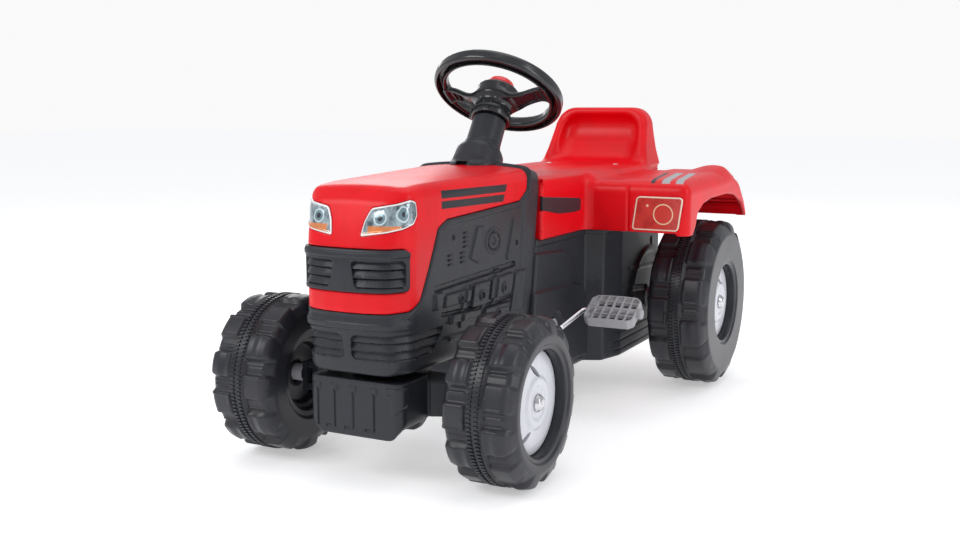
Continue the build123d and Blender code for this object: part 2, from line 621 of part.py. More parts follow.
def horn_button():
    """Red dome that slides down the steering axis into the hub."""
    low = 3 + BUTTON_TRAVEL + SEAM_GAP
    dome = [(0, low), (BUTTON_R, low), (BUTTON_R, 14), (BUTTON_R * 0.9, 19), (BUTTON_R * 0.65, 23.5),
            (BUTTON_R * 0.3, 26), (0, 26.5)]
    return turned_steer(dome)


COLUMN_TOP = -19.0
COLUMN_FOOT = -on_steer(BRIDGE_Z - 12)


def column_tube():
    inner = COLUMN_R - COLUMN_WALL
    return turned_steer([(inner, COLUMN_FOOT), (COLUMN_R, COLUMN_FOOT),
                         (COLUMN_R, COLUMN_TOP), (inner, COLUMN_TOP)])


def column_bush():
    """Bush in the column tube's top that carries the steering rod."""
    inner, outer = STEER_ROD_R + RUN_FIT, COLUMN_R - COLUMN_WALL - PRESS_FIT
    return turned_steer([(inner, COLUMN_TOP - 22), (outer, COLUMN_TOP - 22),
                         (outer, COLUMN_TOP), (inner, COLUMN_TOP)])


def lower_bush():
    """Bush in the engine housing's floor that carries the steering rod's foot."""
    middle = -on_steer(NOSE_BOTTOM + BODY_WALL / 2)
    inner, outer = STEER_ROD_R + RUN_FIT, LOWER_BUSH_R
    return turned_steer([(inner, middle - 9), (outer, middle - 9), (outer, middle + 16), (inner, middle + 16)])


def steering_collar():
    """Domed collar over the hole in the hood, cut to the hood's top."""
    base = -on_steer(HOOD_TOP_REAR - 16)
    bore = COLUMN_R + 0.1
    wide = COLUMN_R + 16
    dome = turned_steer([(bore, base), (wide, base), (wide, base + 12), (wide - 3, base + 26), (wide - 10, base + 38),
                         (wide - 12, base + 41), (bore + 2.4, base + 46), (bore, base + 46)])
    y = (-260, 60)
    above = block((-50, 50), y, (HOOD_TOP_REAR - 60, HOOD_TOP_REAR + 80)) - front_body(-SEAM_GAP)
    return dome & above


# ---------------------------------------------------------------- front axle
TONGUE_X = KINGPIN_X + 13.0


def beam_plan():
    half = BEAM_DEPTH / 2
    right = [(KINGPIN_X - 35, half), (KINGPIN_X - 13.5, half - 11)]
    right += [(x, -y) for x, y in reversed(right)]
    points = right + [(-x, y) for x, y in reversed(right)]
    return Pos(0, FRONT_AXLE_Y) * make_face(Polyline(*points, close=True))


def front_axle_housing():
    """Black beam with a tongue at each end for a kingpin, and a hollow weight box in front."""
    beam = extrude(Pos(0, 0, BEAM_BOTTOM) * beam_plan(), BEAM_HEIGHT)
    core = extrude(Pos(0, 0, BEAM_BOTTOM - 1) * offset(beam_plan(), -4), BEAM_HEIGHT - 8)
    beam -= core & block((-KINGPIN_X + 22, KINGPIN_X - 22), (FRONT_AXLE_Y - 40, FRONT_AXLE_Y + 40), (0, 200))
    z = (FRONT_AXLE_Z - 9.5, FRONT_AXLE_Z + 9.5)
    tongue = block((KINGPIN_X - 26, KINGPIN_X), (FRONT_AXLE_Y - 13, FRONT_AXLE_Y + 13), z)
    tongue += rod_z(13, KINGPIN_X, FRONT_AXLE_Y, z)
    tongue -= rod_z(KINGPIN_R + RUN_FIT, KINGPIN_X, FRONT_AXLE_Y, (z[0] - 5, z[1] + 5))
    half, front, low = WEIGHT_BOX_HALF_WIDTH, WEIGHT_BOX_FRONT_Y, WEIGHT_BOX_BOTTOM
    rear = FRONT_AXLE_Y - BEAM_DEPTH / 2
    box = block((-half, half), (front, rear + 0.01), (low, BEAM_TOP + 4))
    box = fillet(box.edges().filter_by(Axis.Y).group_by(Axis.Z)[0], 16)
    box = fillet(box.edges().filter_by(Axis.Z).group_by(Axis.Y)[0], 9)
    box -= block((-half + 4, half - 4), (front + 4, rear - 4), (low - 5, BEAM_TOP))
    for x in (-42, -21, 0, 21, 42):
        box -= block((x - 1, x + 1), (front - 5, front + 1.2), (low + 12, BEAM_TOP - 6))
    pad = block((-44, 44), (FRONT_AXLE_Y - 22, FRONT_AXLE_Y + 22), (BEAM_TOP - 1, NOSE_BOTTOM - SEAM_GAP))
    housing = beam + tongue + other_side(tongue) + box + pad
    for x, y in HOUSING_SCREW_AT:
        housing -= rod_z(SCREW_R + PRESS_FIT, x, y, (NOSE_BOTTOM - HOUSING_SCREW, NOSE_BOTTOM + 5))
    return housing


def knuckle(side):
    """Fork around the beam's tongue, with a steering arm behind and a boss for the stub axle."""
    low, high = FRONT_AXLE_Z - 18, FRONT_AXLE_Z + 18
    web = block((TONGUE_X + 0.5, STUB_BOSS_X - 6), (FRONT_AXLE_Y - 15, FRONT_AXLE_Y + 15), (low, high))
    lug_low, lug_high = (low, FRONT_AXLE_Z - 9.8), (FRONT_AXLE_Z + 9.8, high)
    fork = web
    for z in (lug_low, lug_high):
        fork += rod_z(12.5, KINGPIN_X, FRONT_AXLE_Y, z)
        fork += block((KINGPIN_X, TONGUE_X + 2), (FRONT_AXLE_Y - 12.5, FRONT_AXLE_Y + 12.5), z)
    fork += rod_x(STUB_R + 5, (STUB_BOSS_X - 7, STUB_BOSS_X), FRONT_AXLE_Y, FRONT_AXLE_Z)
    fork -= rod_x(STUB_R + PRESS_FIT, (TONGUE_X, STUB_BOSS_X + 5), FRONT_AXLE_Y, FRONT_AXLE_Z)
    arm = block((KINGPIN_X - 6.5, KINGPIN_X + 6.5), (FRONT_AXLE_Y + 5, TIE_Y + 9), (low, ARM_Z[1]))
    slot = block((KINGPIN_X - 4.2, KINGPIN_X + 4.2), (TIE_Y - 1, TIE_Y + 2.6), (low - 5, ARM_Z[1] + 5))
    for y in (TIE_Y - 1, TIE_Y + 2.6):
        slot += rod_z(4.2, KINGPIN_X, y, (low - 5, ARM_Z[1] + 5))
    fork += arm & block((0, 200), (FRONT_AXLE_Y, TIE_Y + 30), (low, ARM_Z[1]))
    fork -= slot
    fork -= rod_z(KINGPIN_R + PRESS_FIT, KINGPIN_X, FRONT_AXLE_Y, (low - 5, high + 5))
    return fork if side > 0 else other_side(fork)


def kingpin(side):
    low, high = FRONT_AXLE_Z - 20, FRONT_AXLE_Z + 18 + PRESS_FIT
    pin = rod_z(KINGPIN_R, KINGPIN_X, FRONT_AXLE_Y, (low, high + 3))
    pin += rod_z(7, KINGPIN_X, FRONT_AXLE_Y, (high, high + 3))
    return pin if side > 0 else other_side(pin)


def stub_axle(side):
    end = FRONT_WHEEL_X + FRONT_FACE_X + 5 + SEAM_GAP + CAP_H - 2.5
    shaft = rod_x(STUB_R, (TONGUE_X + 1, end), FRONT_AXLE_Y, FRONT_AXLE_Z)
    return shaft if side > 0 else other_side(shaft)


def tie_rod():
    """Flat bar behind the beam with a pin into each steering arm and a slotted tongue for the rod's pin."""
    bar = block((-KINGPIN_X, KINGPIN_X), (TIE_Y - 6, TIE_Y + 6), TIE_Z)
    for x in (-KINGPIN_X, KINGPIN_X):
        bar += rod_z(6, x, TIE_Y, TIE_Z) + rod_z(3.5, x, TIE_Y, (ARM_Z[0] - 1, TIE_Z[1]))
    middle = (TIE_Z[0] + TIE_Z[1]) / 2
    axis_y = steer_point(on_steer(middle), 0).Y + PITMAN_LENGTH / cos(radians(STEER_TILT))
    pin_half = STEER_ROD_R / cos(radians(STEER_TILT)) + (TIE_Z[1] - TIE_Z[0]) / 2 * tan(radians(STEER_TILT)) + 0.8
    swing = PITMAN_LENGTH * (1 - cos(radians(STEER_LOCK))) / cos(radians(STEER_TILT))
    y = (axis_y - pin_half - swing, axis_y + pin_half)
    bar += block((-13, 13), (TIE_Y, y[1] + 6), TIE_Z)
    return bar - block((-STEER_ROD_R - 0.6, STEER_ROD_R + 0.6), y, (TIE_Z[0] - 5, TIE_Z[1] + 5))


# ---------------------------------------------------------------- drive
def chain_radius(teeth):
    return teeth * CHAIN_PITCH / (2 * pi)


def sprocket(teeth, shaft_r, y, z):
    """Toothed wheel about X with a hub."""
    tip, root = chain_radius(teeth) + 1.0, chain_radius(teeth) - 3.5
    points = []
    for i in range(teeth):
        for share, r in ((0.1, root), (0.4, tip), (0.6, tip), (0.9, root)):
            angle = radians(360 * (i + share) / teeth)
            points.append((r * cos(angle), r * sin(angle)))
    side = Plane(origin=(CHAIN_X - 2, y, z), x_dir=(0, 1, 0), z_dir=(1, 0, 0))
    disc = extrude(side * make_face(Polyline(*points, close=True)), 4)
    hub = rod_x(shaft_r + 7, (CHAIN_X - 8, CHAIN_X + 8), y, z)
    return disc + hub - rod_x(shaft_r + PRESS_FIT, (CHAIN_X - 20, CHAIN_X + 20), y, z)


def drive_chain():
    """The chain as one closed band around both sprockets."""
    side = Plane(origin=(CHAIN_X - 3.5, 0, 0), x_dir=(0, 1, 0), z_dir=(1, 0, 0))

    def loop(extra):
        crank = Pos(CRANK_Y, CRANK_Z) * Circle(chain_radius(CRANK_TEETH) + extra)
        axle = Pos(REAR_AXLE_Y, REAR_AXLE_Z) * Circle(chain_radius(AXLE_TEETH) + extra)
        return make_hull(crank.edges() + axle.edges())

    return extrude(side * loop(6), 7) - extrude(side * loop(1.5), 7)


def crank():
    """One bent steel rod: pedal spindle, arm, shaft across the frame, arm and pedal spindle."""
    dy, dz = PEDAL_OFFSET
    shaft, spindle, end = FRAME_HALF_WIDTH + 12, PEDAL_INNER_X - 7, PEDAL_INNER_X + PEDAL_WIDTH + 5
    path = FilletPolyline((-end, CRANK_Y - dy, CRANK_Z - dz), (-spindle, CRANK_Y - dy, CRANK_Z - dz),
                          (-shaft, CRANK_Y, CRANK_Z), (shaft, CRANK_Y, CRANK_Z),
                          (spindle, CRANK_Y + dy, CRANK_Z + dz), (end, CRANK_Y + dy, CRANK_Z + dz), radius=9)
    return sweep(Plane(origin=path @ 0, z_dir=path % 0) * Circle(CRANK_ROD_R), path)


def pedal(side):
    """Grid tread with a skirt around it and a hub tube along the spindle."""
    half_w, half_l, top = PEDAL_WIDTH / 2, PEDAL_LENGTH / 2, 5.0
    skirt = Box(PEDAL_WIDTH, PEDAL_LENGTH, PEDAL_DEPTH) - Box(PEDAL_WIDTH - 5, PEDAL_LENGTH - 5, PEDAL_DEPTH + 2)
    body = Pos(0, 0, top - PEDAL_DEPTH / 2) * skirt
    columns = 6
    for i in range(1, columns):
        body += Pos(-half_w + PEDAL_WIDTH * i / columns, 0, top - 3) * Box(2.4, PEDAL_LENGTH - 3, 6)
    body += Pos(0, 0, top - 3) * Box(PEDAL_WIDTH - 3, 5, 6)
    body += rod_x(CRANK_ROD_R + 3.5, (-half_w, half_w), 0, 0)
    body -= rod_x(CRANK_ROD_R + RUN_FIT, (-half_w - 5, half_w + 5), 0, 0)
    body = Pos(PEDAL_INNER_X + half_w, CRANK_Y + PEDAL_OFFSET[0], CRANK_Z + PEDAL_OFFSET[1]) * (
        Rot(PEDAL_TILT, 0, 0) * body)
    if side > 0:
        return body
    return Pos(0, -2 * PEDAL_OFFSET[0], -2 * PEDAL_OFFSET[1]) * other_side(body)


def pedal_cap(side):
    x = PEDAL_INNER_X + PEDAL_WIDTH + FREE_GAP
    cap = rod_x(7.5, (x, x + 7), 0, 0)
    cap = fillet(cap.edges().sort_by(Axis.X)[-1], 2.5) - rod_x(CRANK_ROD_R + PRESS_FIT, (x - 5, x + 5), 0, 0)
    return Pos(0, side * PEDAL_OFFSET[0] + CRANK_Y, side * PEDAL_OFFSET[1] + CRANK_Z) * (
        cap if side > 0 else other_side(cap))


def rear_axle():
    end = REAR_WHEEL_X + REAR_FACE_X + 5 + SEAM_GAP + CAP_H - 2.5
    shaft = rod_x(REAR_AXLE_R, (-end, end), REAR_AXLE_Y, REAR_AXLE_Z)
    return shaft - rod_z(PIN_R + PRESS_FIT, -DRIVE_PIN_X, REAR_AXLE_Y, (REAR_AXLE_Z - 20, REAR_AXLE_Z + 20))


def drive_pin():
    return rod_z(PIN_R, -DRIVE_PIN_X, REAR_AXLE_Y, (REAR_AXLE_Z - REAR_AXLE_R - 7, REAR_AXLE_Z + REAR_AXLE_R + 7))


# ---------------------------------------------------------------- fasteners
def hood_screws():
    return [Pos(x, y, BRIDGE_Z - BODY_WALL) * Rot(180, 0, 0) * screw(HOOD_SCREW) for x, y in HOOD_BOSS_AT]


def seat_screws():
    return [Pos(x, y, SEAT_TOP - SCREW_HEAD_H) * screw(SEAT_SCREW) for x, y in SEAT_POST_AT]


def housing_screws():
    return [Pos(x, y, NOSE_BOTTOM + BODY_WALL) * screw(HOUSING_SCREW) for x, y in HOUSING_SCREW_AT]


def frame_screws():
    """Screws from inside the engine housing back into the rear frame."""
    slope = (DASH_TOP_Y - DASH_LOW_Y) / (DASH_TOP_Z - NOSE_BOTTOM)
    found = []
    for x, z in FRAME_SCREW_AT:
        wall = DASH_LOW_Y + slope * (z + SCREW_HEAD_R - NOSE_BOTTOM) - BODY_WALL * 1.03
        wall -= 2 * SCREW_HEAD_R * slope
        found.append(Pos(x, wall, z) * Rot(90, 0, 0) * screw(FRAME_SCREW))
    return found


# ---------------------------------------------------------------- all nodes
def nodes():
    shift = 180 / LUGS_PER_SIDE
    front_tyre = tyre(FRONT_TYRE_R, FRONT_TYRE_WIDTH, FRONT_RIM_R, FRONT_BORE + 6.1, 46, shift)
    rear_tyre = tyre(REAR_TYRE_R, REAR_TYRE_WIDTH, REAR_RIM_R, REAR_BORE + 6.1, 52, shift)
    front_rim = rim(FRONT_TYRE_WIDTH, FRONT_RIM_R, FRONT_BORE, FRONT_HUB_INNER)
    rear_rim = rim(REAR_TYRE_WIDTH, REAR_RIM_R, REAR_BORE, REAR_HUB_INNER)
    pin_hole = rod_z(PIN_R + PRESS_FIT, -DRIVE_PIN_X, REAR_AXLE_Y, (REAR_AXLE_Z - 20, REAR_AXLE_Z + 20))
    made = {
        "hood": hood(),
        "upper_grille": upper_grille(),
        "engine_housing": engine_housing(),
        "chassis": chassis(),
        "seat_body": seat_body(),
        "front_axle_housing": front_axle_housing(),
        "steering_collar": steering_collar(),
        "column_tube": column_tube(),
        "column_bush": column_bush(),
        "lower_bush": lower_bush(),
        "steering_wheel": steering_wheel(),
        "steering_rod": steering_rod(),
        "horn_squeaker": horn_squeaker(),
        "horn_button": horn_button(),
        "tie_rod": tie_rod(),
        "crank": crank(),
        "crank_sprocket": sprocket(CRANK_TEETH, CRANK_ROD_R, CRANK_Y, CRANK_Z),
        "drive_chain": drive_chain(),
        "rear_axle": rear_axle(),
        "axle_sprocket": sprocket(AXLE_TEETH, REAR_AXLE_R, REAR_AXLE_Y, REAR_AXLE_Z),
        "drive_pin": drive_pin(),
        "hood_screws": hood_screws(),
        "seat_screws": seat_screws(),
        "axle_housing_screws": housing_screws(),
        "frame_screws": frame_screws(),
    }
    for name, side in (("left", 1), ("right", -1)):
        made[f"headlight_{name}"] = headlight(side)
        made[f"side_trim_{name}"] = side_trim(side)
        made[f"fender_lamp_{name}"] = fender_lamp(side)
        made[f"crank_bush_{name}"] = frame_bush(side, FRAME_HALF_WIDTH, CRANK_ROD_R, CRANK_Y, CRANK_Z)
        made[f"axle_bush_{name}"] = frame_bush(side, FRAME_REAR_HALF_WIDTH, REAR_AXLE_R, REAR_AXLE_Y, REAR_AXLE_Z)
        made[f"knuckle_{name}"] = knuckle(side)
        made[f"kingpin_{name}"] = kingpin(side)
        made[f"stub_axle_{name}"] = stub_axle(side)
        made[f"front_tyre_{name}"] = at_front(front_tyre, side)
        made[f"front_rim_{name}"] = at_front(front_rim, side)
        made[f"front_cap_{name}"] = at_front(hub_cap(FRONT_FACE_X, STUB_R), side)
        made[f"rear_tyre_{name}"] = at_rear(rear_tyre, side)
        made[f"rear_rim_{name}"] = at_rear(rear_rim, side) - pin_hole
        made[f"rear_cap_{name}"] = at_rear(hub_cap(REAR_FACE_X, REAR_AXLE_R), side)
        made[f"pedal_{name}"] = pedal(side)
        made[f"pedal_cap_{name}"] = pedal_cap(side)
    return made


def main():
    os.makedirs("parts", exist_ok=True)
    for name, shape in nodes().items():
        solids = shape if isinstance(shape, list) else [shape]
        solids = [solid for item in solids for solid in item.solids()]
        export_step(solids[0] if len(solids) == 1 else Compound(children=solids), f"parts/{name}.step")
        print(name, len(solids), round(sum(s.volume for s in solids)))


if __name__ == "__main__":
    main()
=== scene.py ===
"""Looks of the child's pedal tractor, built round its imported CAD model.

Lengths in the shape functions are millimetres in the model's frame: +Z up, the front towards -Y,
the tractor's left side towards +X. Each piece is made from a distance function, a turned profile or
a Geometry Nodes tree, and its finish is a procedural material.
"""

import math

import bpy
import numpy as np
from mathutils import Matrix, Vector


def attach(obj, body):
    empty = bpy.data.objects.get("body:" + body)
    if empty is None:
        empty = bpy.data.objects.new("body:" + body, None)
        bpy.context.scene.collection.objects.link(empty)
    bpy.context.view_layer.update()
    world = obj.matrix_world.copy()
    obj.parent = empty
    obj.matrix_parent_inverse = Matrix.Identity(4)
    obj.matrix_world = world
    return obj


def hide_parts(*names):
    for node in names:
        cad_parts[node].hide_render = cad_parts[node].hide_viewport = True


bl_info = {
    "name": "Pedal Tractor Looks",
    "version": (1, 0, 0),
    "blender": (4, 5, 0),
    "location": "3D View > Sidebar > Tractor",
    "description": "Builds the moulded plastic looks of a child's pedal tractor",
    "category": "Object",
}

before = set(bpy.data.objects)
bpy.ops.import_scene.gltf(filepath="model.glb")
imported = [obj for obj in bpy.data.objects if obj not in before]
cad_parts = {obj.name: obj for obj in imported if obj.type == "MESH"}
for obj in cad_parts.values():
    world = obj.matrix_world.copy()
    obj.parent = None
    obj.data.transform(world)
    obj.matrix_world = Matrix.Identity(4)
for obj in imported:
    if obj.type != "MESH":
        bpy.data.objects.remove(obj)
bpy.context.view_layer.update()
MM = 0.001
FINE = 1.0

# ---------------------------------------------------------------- places shared by several pieces
FRONT_WHEEL = (164.7, -314.0, 103.5)
REAR_WHEEL = (209.6, 291.0, 132.8)
STEER_CENTRE = np.array((0.0, -18.0, 465.0))
STEER_TILT = math.radians(33.5)
STEER_ACROSS = np.array((1.0, 0.0, 0.0))
STEER_REAR = np.array((0.0, math.cos(STEER_TILT), -math.sin(STEER_TILT)))
STEER_UP = np.array((0.0, math.sin(STEER_TILT), math.cos(STEER_TILT)))
CRANK_AT = (-20.0, 129.0)
PEDAL_OFFSET = (53.0, 22.5)
PEDAL_TILT = math.radians(31.0)
SEAM = 0.4


# ---------------------------------------------------------------- distance functions
def ease(low, high, v):
    """0 below low, 1 above high, and a soft step between them."""
    t = np.clip((v - low) / (high - low), 0.0, 1.0)
    return t * t * (3 - 2 * t)


def smooth_max(a, b, blend):
    """Intersection of two shapes with a rounded edge."""
    h = np.maximum(blend - np.abs(a - b), 0.0) / blend
    return np.maximum(a, b) + h * h * (blend / 4)


def smooth_min(a, b, blend):
    """Union of two shapes with a filleted joint."""
    h = np.maximum(blend - np.abs(a - b), 0.0) / blend
    return np.minimum(a, b) - h * h * (blend / 4)


def cut(a, b, blend):
    """Shape a without shape b."""
    return smooth_max(a, -b, blend)


def outline(u, v, points):
    """Signed distance to a closed outline of points in the (u, v) plane, negative inside."""
    near = None
    inside = None
    for (pu, pv), (qu, qv) in zip(points, points[1:] + points[:1]):
        eu, ev = qu - pu, qv - pv
        wu, wv = u - pu, v - pv
        t = np.clip((wu * eu + wv * ev) / (eu * eu + ev * ev), 0.0, 1.0)
        gap = (wu - eu * t) ** 2 + (wv - ev * t) ** 2
        above, below, left = v >= pv, v < qv, eu * wv > ev * wu
        crossing = (above & below & left) | (~above & ~below & ~left)
        near = gap if near is None else np.minimum(near, gap)
        inside = crossing if inside is None else inside ^ crossing
    return np.where(inside, -1.0, 1.0) * np.sqrt(near)


def rounded(points, radius, steps=4):
    """The outline with each corner turned into a curve; radius is one number or one for each corner."""
    radii = radius if isinstance(radius, (list, tuple)) else [radius] * len(points)
    out = []
    for i, p in enumerate(points):
        p = np.array(p, float)
        back, ahead = np.array(points[i - 1], float) - p, np.array(points[(i + 1) % len(points)], float) - p
        lb, la = np.linalg.norm(back), np.linalg.norm(ahead)
        turn = math.acos(max(-1.0, min(1.0, float(back @ ahead) / (lb * la))))
        reach = min(radii[i] / max(math.tan(turn / 2), 0.05), 0.45 * lb, 0.45 * la)
        if reach < 0.3:
            out.append(tuple(p))
            continue
        s, e = p + back / lb * reach, p + ahead / la * reach
        for k in range(steps + 1):
            t = k / steps
            out.append(tuple((1 - t) ** 2 * s + 2 * t * (1 - t) * p + t * t * e))
    return out


def span(v, low, high):
    """Distance to the slab between low and high."""
    return np.maximum(low - v, v - high)


def box2(u, v, u_lim, v_lim, radius=0.0):
    """Distance to a rectangle with rounded corners."""
    du = np.abs(u - (u_lim[0] + u_lim[1]) / 2) - (u_lim[1] - u_lim[0]) / 2 + radius
    dv = np.abs(v - (v_lim[0] + v_lim[1]) / 2) - (v_lim[1] - v_lim[0]) / 2 + radius
    return np.hypot(np.maximum(du, 0), np.maximum(dv, 0)) + np.minimum(np.maximum(du, dv), 0) - radius


def box3(x, y, z, x_lim, y_lim, z_lim, radius=0.0):
    """Distance to a block with rounded edges."""
    d = [np.abs(v - (lim[0] + lim[1]) / 2) - (lim[1] - lim[0]) / 2 + radius
         for v, lim in ((x, x_lim), (y, y_lim), (z, z_lim))]
    out = np.sqrt(sum(np.maximum(v, 0) ** 2 for v in d))
    return out + np.minimum(np.maximum(np.maximum(d[0], d[1]), d[2]), 0) - radius


def raised(distance, soft=1.5):
    """1 inside an outline and 0 outside it, over a soft edge."""
    return 1 - ease(-soft, soft, distance)


def stroke(u, v, start, end, half):
    """Distance to a bar with round ends between two points."""
    eu, ev = end[0] - start[0], end[1] - start[1]
    wu, wv = u - start[0], v - start[1]
    t = np.clip((wu * eu + wv * ev) / (eu * eu + ev * ev), 0.0, 1.0)
    return np.hypot(wu - eu * t, wv - ev * t) - half


def to_steer(x, y, z):
    """A place in the steering wheel's own frame: across, rearward in its plane, and up its axis."""
    x, y, z = x - STEER_CENTRE[0], y - STEER_CENTRE[1], z - STEER_CENTRE[2]
    return x, y * STEER_REAR[1] + z * STEER_REAR[2], y * STEER_UP[1] + z * STEER_UP[2]


# ---------------------------------------------------------------- surfaces from distance functions
CORNERS = np.array([(i, j, k) for i in (0, 1) for j in (0, 1) for k in (0, 1)])
EDGES = [(a, b) for a in range(8) for b in range(a + 1, 8) if np.abs(CORNERS[a] - CORNERS[b]).sum() == 1]
PROBES = np.array([(1, -1, -1), (-1, -1, 1), (-1, 1, -1), (1, 1, 1)], float)


def slope_of(distance, p, reach):
    """Distance and its gradient at points p."""
    total = np.zeros_like(p)
    for probe in PROBES:
        q = p + probe * reach
        total += probe * distance(q[:, 0], q[:, 1], q[:, 2])[:, None]
    return distance(p[:, 0], p[:, 1], p[:, 2]), total / (4 * reach)


def settle(distance, p, limit, rounds=2):
    """Moves points on to the surface."""
    for _ in range(rounds):
        d, g = slope_of(distance, p, 0.05)
        size = np.maximum((g * g).sum(1), 0.05)
        p = p - g * (np.clip(d, -limit, limit) / size)[:, None]
    return p


def surface_net(distance, low, high, step):
    """Closed quad mesh of the zero surface inside a box."""
    axes = [np.arange(a, b + step, step, dtype=np.float32) for a, b in zip(low, high)]
    shape = tuple(len(a) for a in axes)
    field = distance(axes[0][:, None, None], axes[1][None, :, None], axes[2][None, None, :])
    field = np.ascontiguousarray(np.broadcast_to(field, shape), dtype=np.float32)
    inside = field < 0
    if any(np.take(inside, end, axis).any() for axis in range(3) for end in (0, -1)):
        raise ValueError("the shape leaves its box")
    small = tuple(n - 1 for n in shape)
    count = np.zeros(small, np.int8)
    for i, j, k in CORNERS:
        count += inside[i:i + small[0], j:j + small[1], k:k + small[2]]
    active = (count > 0) & (count < 8)
    cell = np.argwhere(active)
    index = np.full(small, -1, np.int64)
    index[active] = np.arange(len(cell))
    values = np.stack([field[cell[:, 0] + i, cell[:, 1] + j, cell[:, 2] + k] for i, j, k in CORNERS], 1)
    total, hits = np.zeros((len(cell), 3)), np.zeros(len(cell))
    for a, b in EDGES:
        va, vb = values[:, a], values[:, b]
        cross = (va < 0) != (vb < 0)
        t = va[cross] / (va[cross] - vb[cross])
        total[cross] += CORNERS[a] + t[:, None] * (CORNERS[b] - CORNERS[a])
        hits[cross] += 1
    points = np.array(low) + (cell + total / hits[:, None]) * step
    quads = []
    for axis in range(3):
        u, v = (axis + 1) % 3, (axis + 2) % 3
        ahead = [slice(None)] * 3
        behind = [slice(None)] * 3
        ahead[axis], behind[axis] = slice(1, None), slice(None, -1)
        first, second = inside[tuple(behind)], inside[tuple(ahead)]
        e = np.argwhere(first != second)
        e = e[(e[:, u] > 0) & (e[:, v] > 0) & (e[:, u] < small[u]) & (e[:, v] < small[v])]
        du, dv = np.zeros(3, int), np.zeros(3, int)
        du[u], dv[v] = 1, 1
        ring = [index[tuple(c.T)] for c in (e - du - dv, e - dv, e, e - du)]
        quad = np.stack(ring, 1)
        flip = ~first[tuple(e.T)]
        quad[flip] = quad[flip][:, ::-1]
        quads.append(quad)
    return points, np.concatenate(quads)


def mesh_object(name, points, faces, smooth=True):
    """Object at the origin with its place in its mesh; points are millimetres."""
    mesh = bpy.data.meshes.new(name)
    faces = np.asarray(faces)
    n, sides = faces.shape
    mesh.vertices.add(len(points))
    mesh.vertices.foreach_set("co", (np.asarray(points) * MM).astype(np.float32).ravel())
    mesh.loops.add(n * sides)
    mesh.loops.foreach_set("vertex_index", faces.astype(np.int32).ravel())
    mesh.polygons.add(n)
    mesh.polygons.foreach_set("loop_start", np.arange(0, n * sides, sides, dtype=np.int32))
    mesh.polygons.foreach_set("use_smooth", np.full(n, smooth))
    mesh.update(calc_edges=True)
    mesh.validate()
    obj = bpy.data.objects.new(name, mesh)
    bpy.context.scene.collection.objects.link(obj)
    return obj


def plain_copy(obj, name=None):
    """Applies the object's modifiers by turning the evaluated result into a plain mesh."""
    dg = bpy.context.evaluated_depsgraph_get()
    mesh = bpy.data.meshes.new_from_object(obj.evaluated_get(dg))
    obj.modifiers.clear()
    obj.data = mesh
    if name:
        mesh.name = name
    return obj


def vertex_array(mesh):
    co = np.zeros(len(mesh.vertices) * 3, np.float32)
    mesh.vertices.foreach_get("co", co)
    return co.reshape(-1, 3).astype(float)


def moulded(name, distance, low, high, step, keep=0.4, place=None):
    """Piece skinned round a distance function, thinned where it is flat, with the function's own normals."""
    step = step * FINE
    points, quads = surface_net(distance, low, high, step)
    points = settle(distance, points, step * 0.6)
    obj = mesh_object(name, points, quads)
    if keep < 1:
        thin = obj.modifiers.new("thin", "DECIMATE")
        thin.ratio = keep
        plain_copy(obj)
    p = vertex_array(obj.data) / MM
    p = settle(distance, p, step * 0.3, 1)
    normals = slope_of(distance, p, 0.35)[1]
    normals /= np.maximum(np.linalg.norm(normals, axis=1), 1e-6)[:, None]
    if place is not None:
        p, normals = place(p), place(normals, True)
    obj.data.vertices.foreach_set("co", (p * MM).astype(np.float32).ravel())
    obj.data.polygons.foreach_set("use_smooth", np.full(len(obj.data.polygons), True))
    obj.data.update()
    obj.data.normals_split_custom_set_from_vertices(normals)
    return obj


def steer_place(p, only_turn=False):
    """From the steering wheel's own frame to the model's."""
    turned = p[:, :1] * STEER_ACROSS + p[:, 1:2] * STEER_REAR + p[:, 2:3] * STEER_UP
    return turned if only_turn else turned + STEER_CENTRE


def turned(name, profile, turns, frame_of, smooth=True, closed=True):
    """Surface of revolution: profile of (along, radius), with frame_of(along, radius, angle) giving places."""
    profile = np.array(profile, float)
    m = len(profile)
    angle = np.linspace(0, 2 * math.pi, turns, endpoint=False)
    points = frame_of(profile[None, :, 0], profile[None, :, 1], angle[:, None]).reshape(-1, 3)
    i, j = np.meshgrid(np.arange(turns), np.arange(m if closed else m - 1), indexing="ij")
    a = i * m + j
    b = i * m + (j + 1) % m
    c = ((i + 1) % turns) * m + (j + 1) % m
    d = ((i + 1) % turns) * m + j
    faces = np.stack([a, b, c, d], -1).reshape(-1, 4)
    return mesh_object(name, points, faces, smooth)


def about_x(centre, side=1):
    """Places round an axle: along is outwards from the wheel's middle."""
    def frame_of(along, radius, angle):
        x = centre[0] * side + along * side + 0 * angle
        y = centre[1] + radius * np.sin(angle) * side + 0 * along
        z = centre[2] + radius * np.cos(angle) + 0 * along
        return np.stack(np.broadcast_arrays(x, y, z), -1)
    return frame_of


def about_steer(along, radius, angle):
    """Places round the steering axis, along it from the wheel's centre."""
    p = np.stack(np.broadcast_arrays(radius * np.cos(angle), radius * np.sin(angle), along + 0 * angle), -1)
    shape = p.shape
    return steer_place(p.reshape(-1, 3)).reshape(shape)


def face_outwards(obj):
    """Turns the mesh inside out if its volume is negative."""
    mesh = obj.data
    mesh.calc_loop_triangles()
    p = vertex_array(mesh)
    tri = np.zeros(len(mesh.loop_triangles) * 3, np.int32)
    mesh.loop_triangles.foreach_get("vertices", tri)
    a, b, c = (p[tri.reshape(-1, 3)[:, k]] for k in range(3))
    if np.einsum("ij,ij->i", a, np.cross(b, c)).sum() < 0:
        mesh.flip_normals()
    return obj


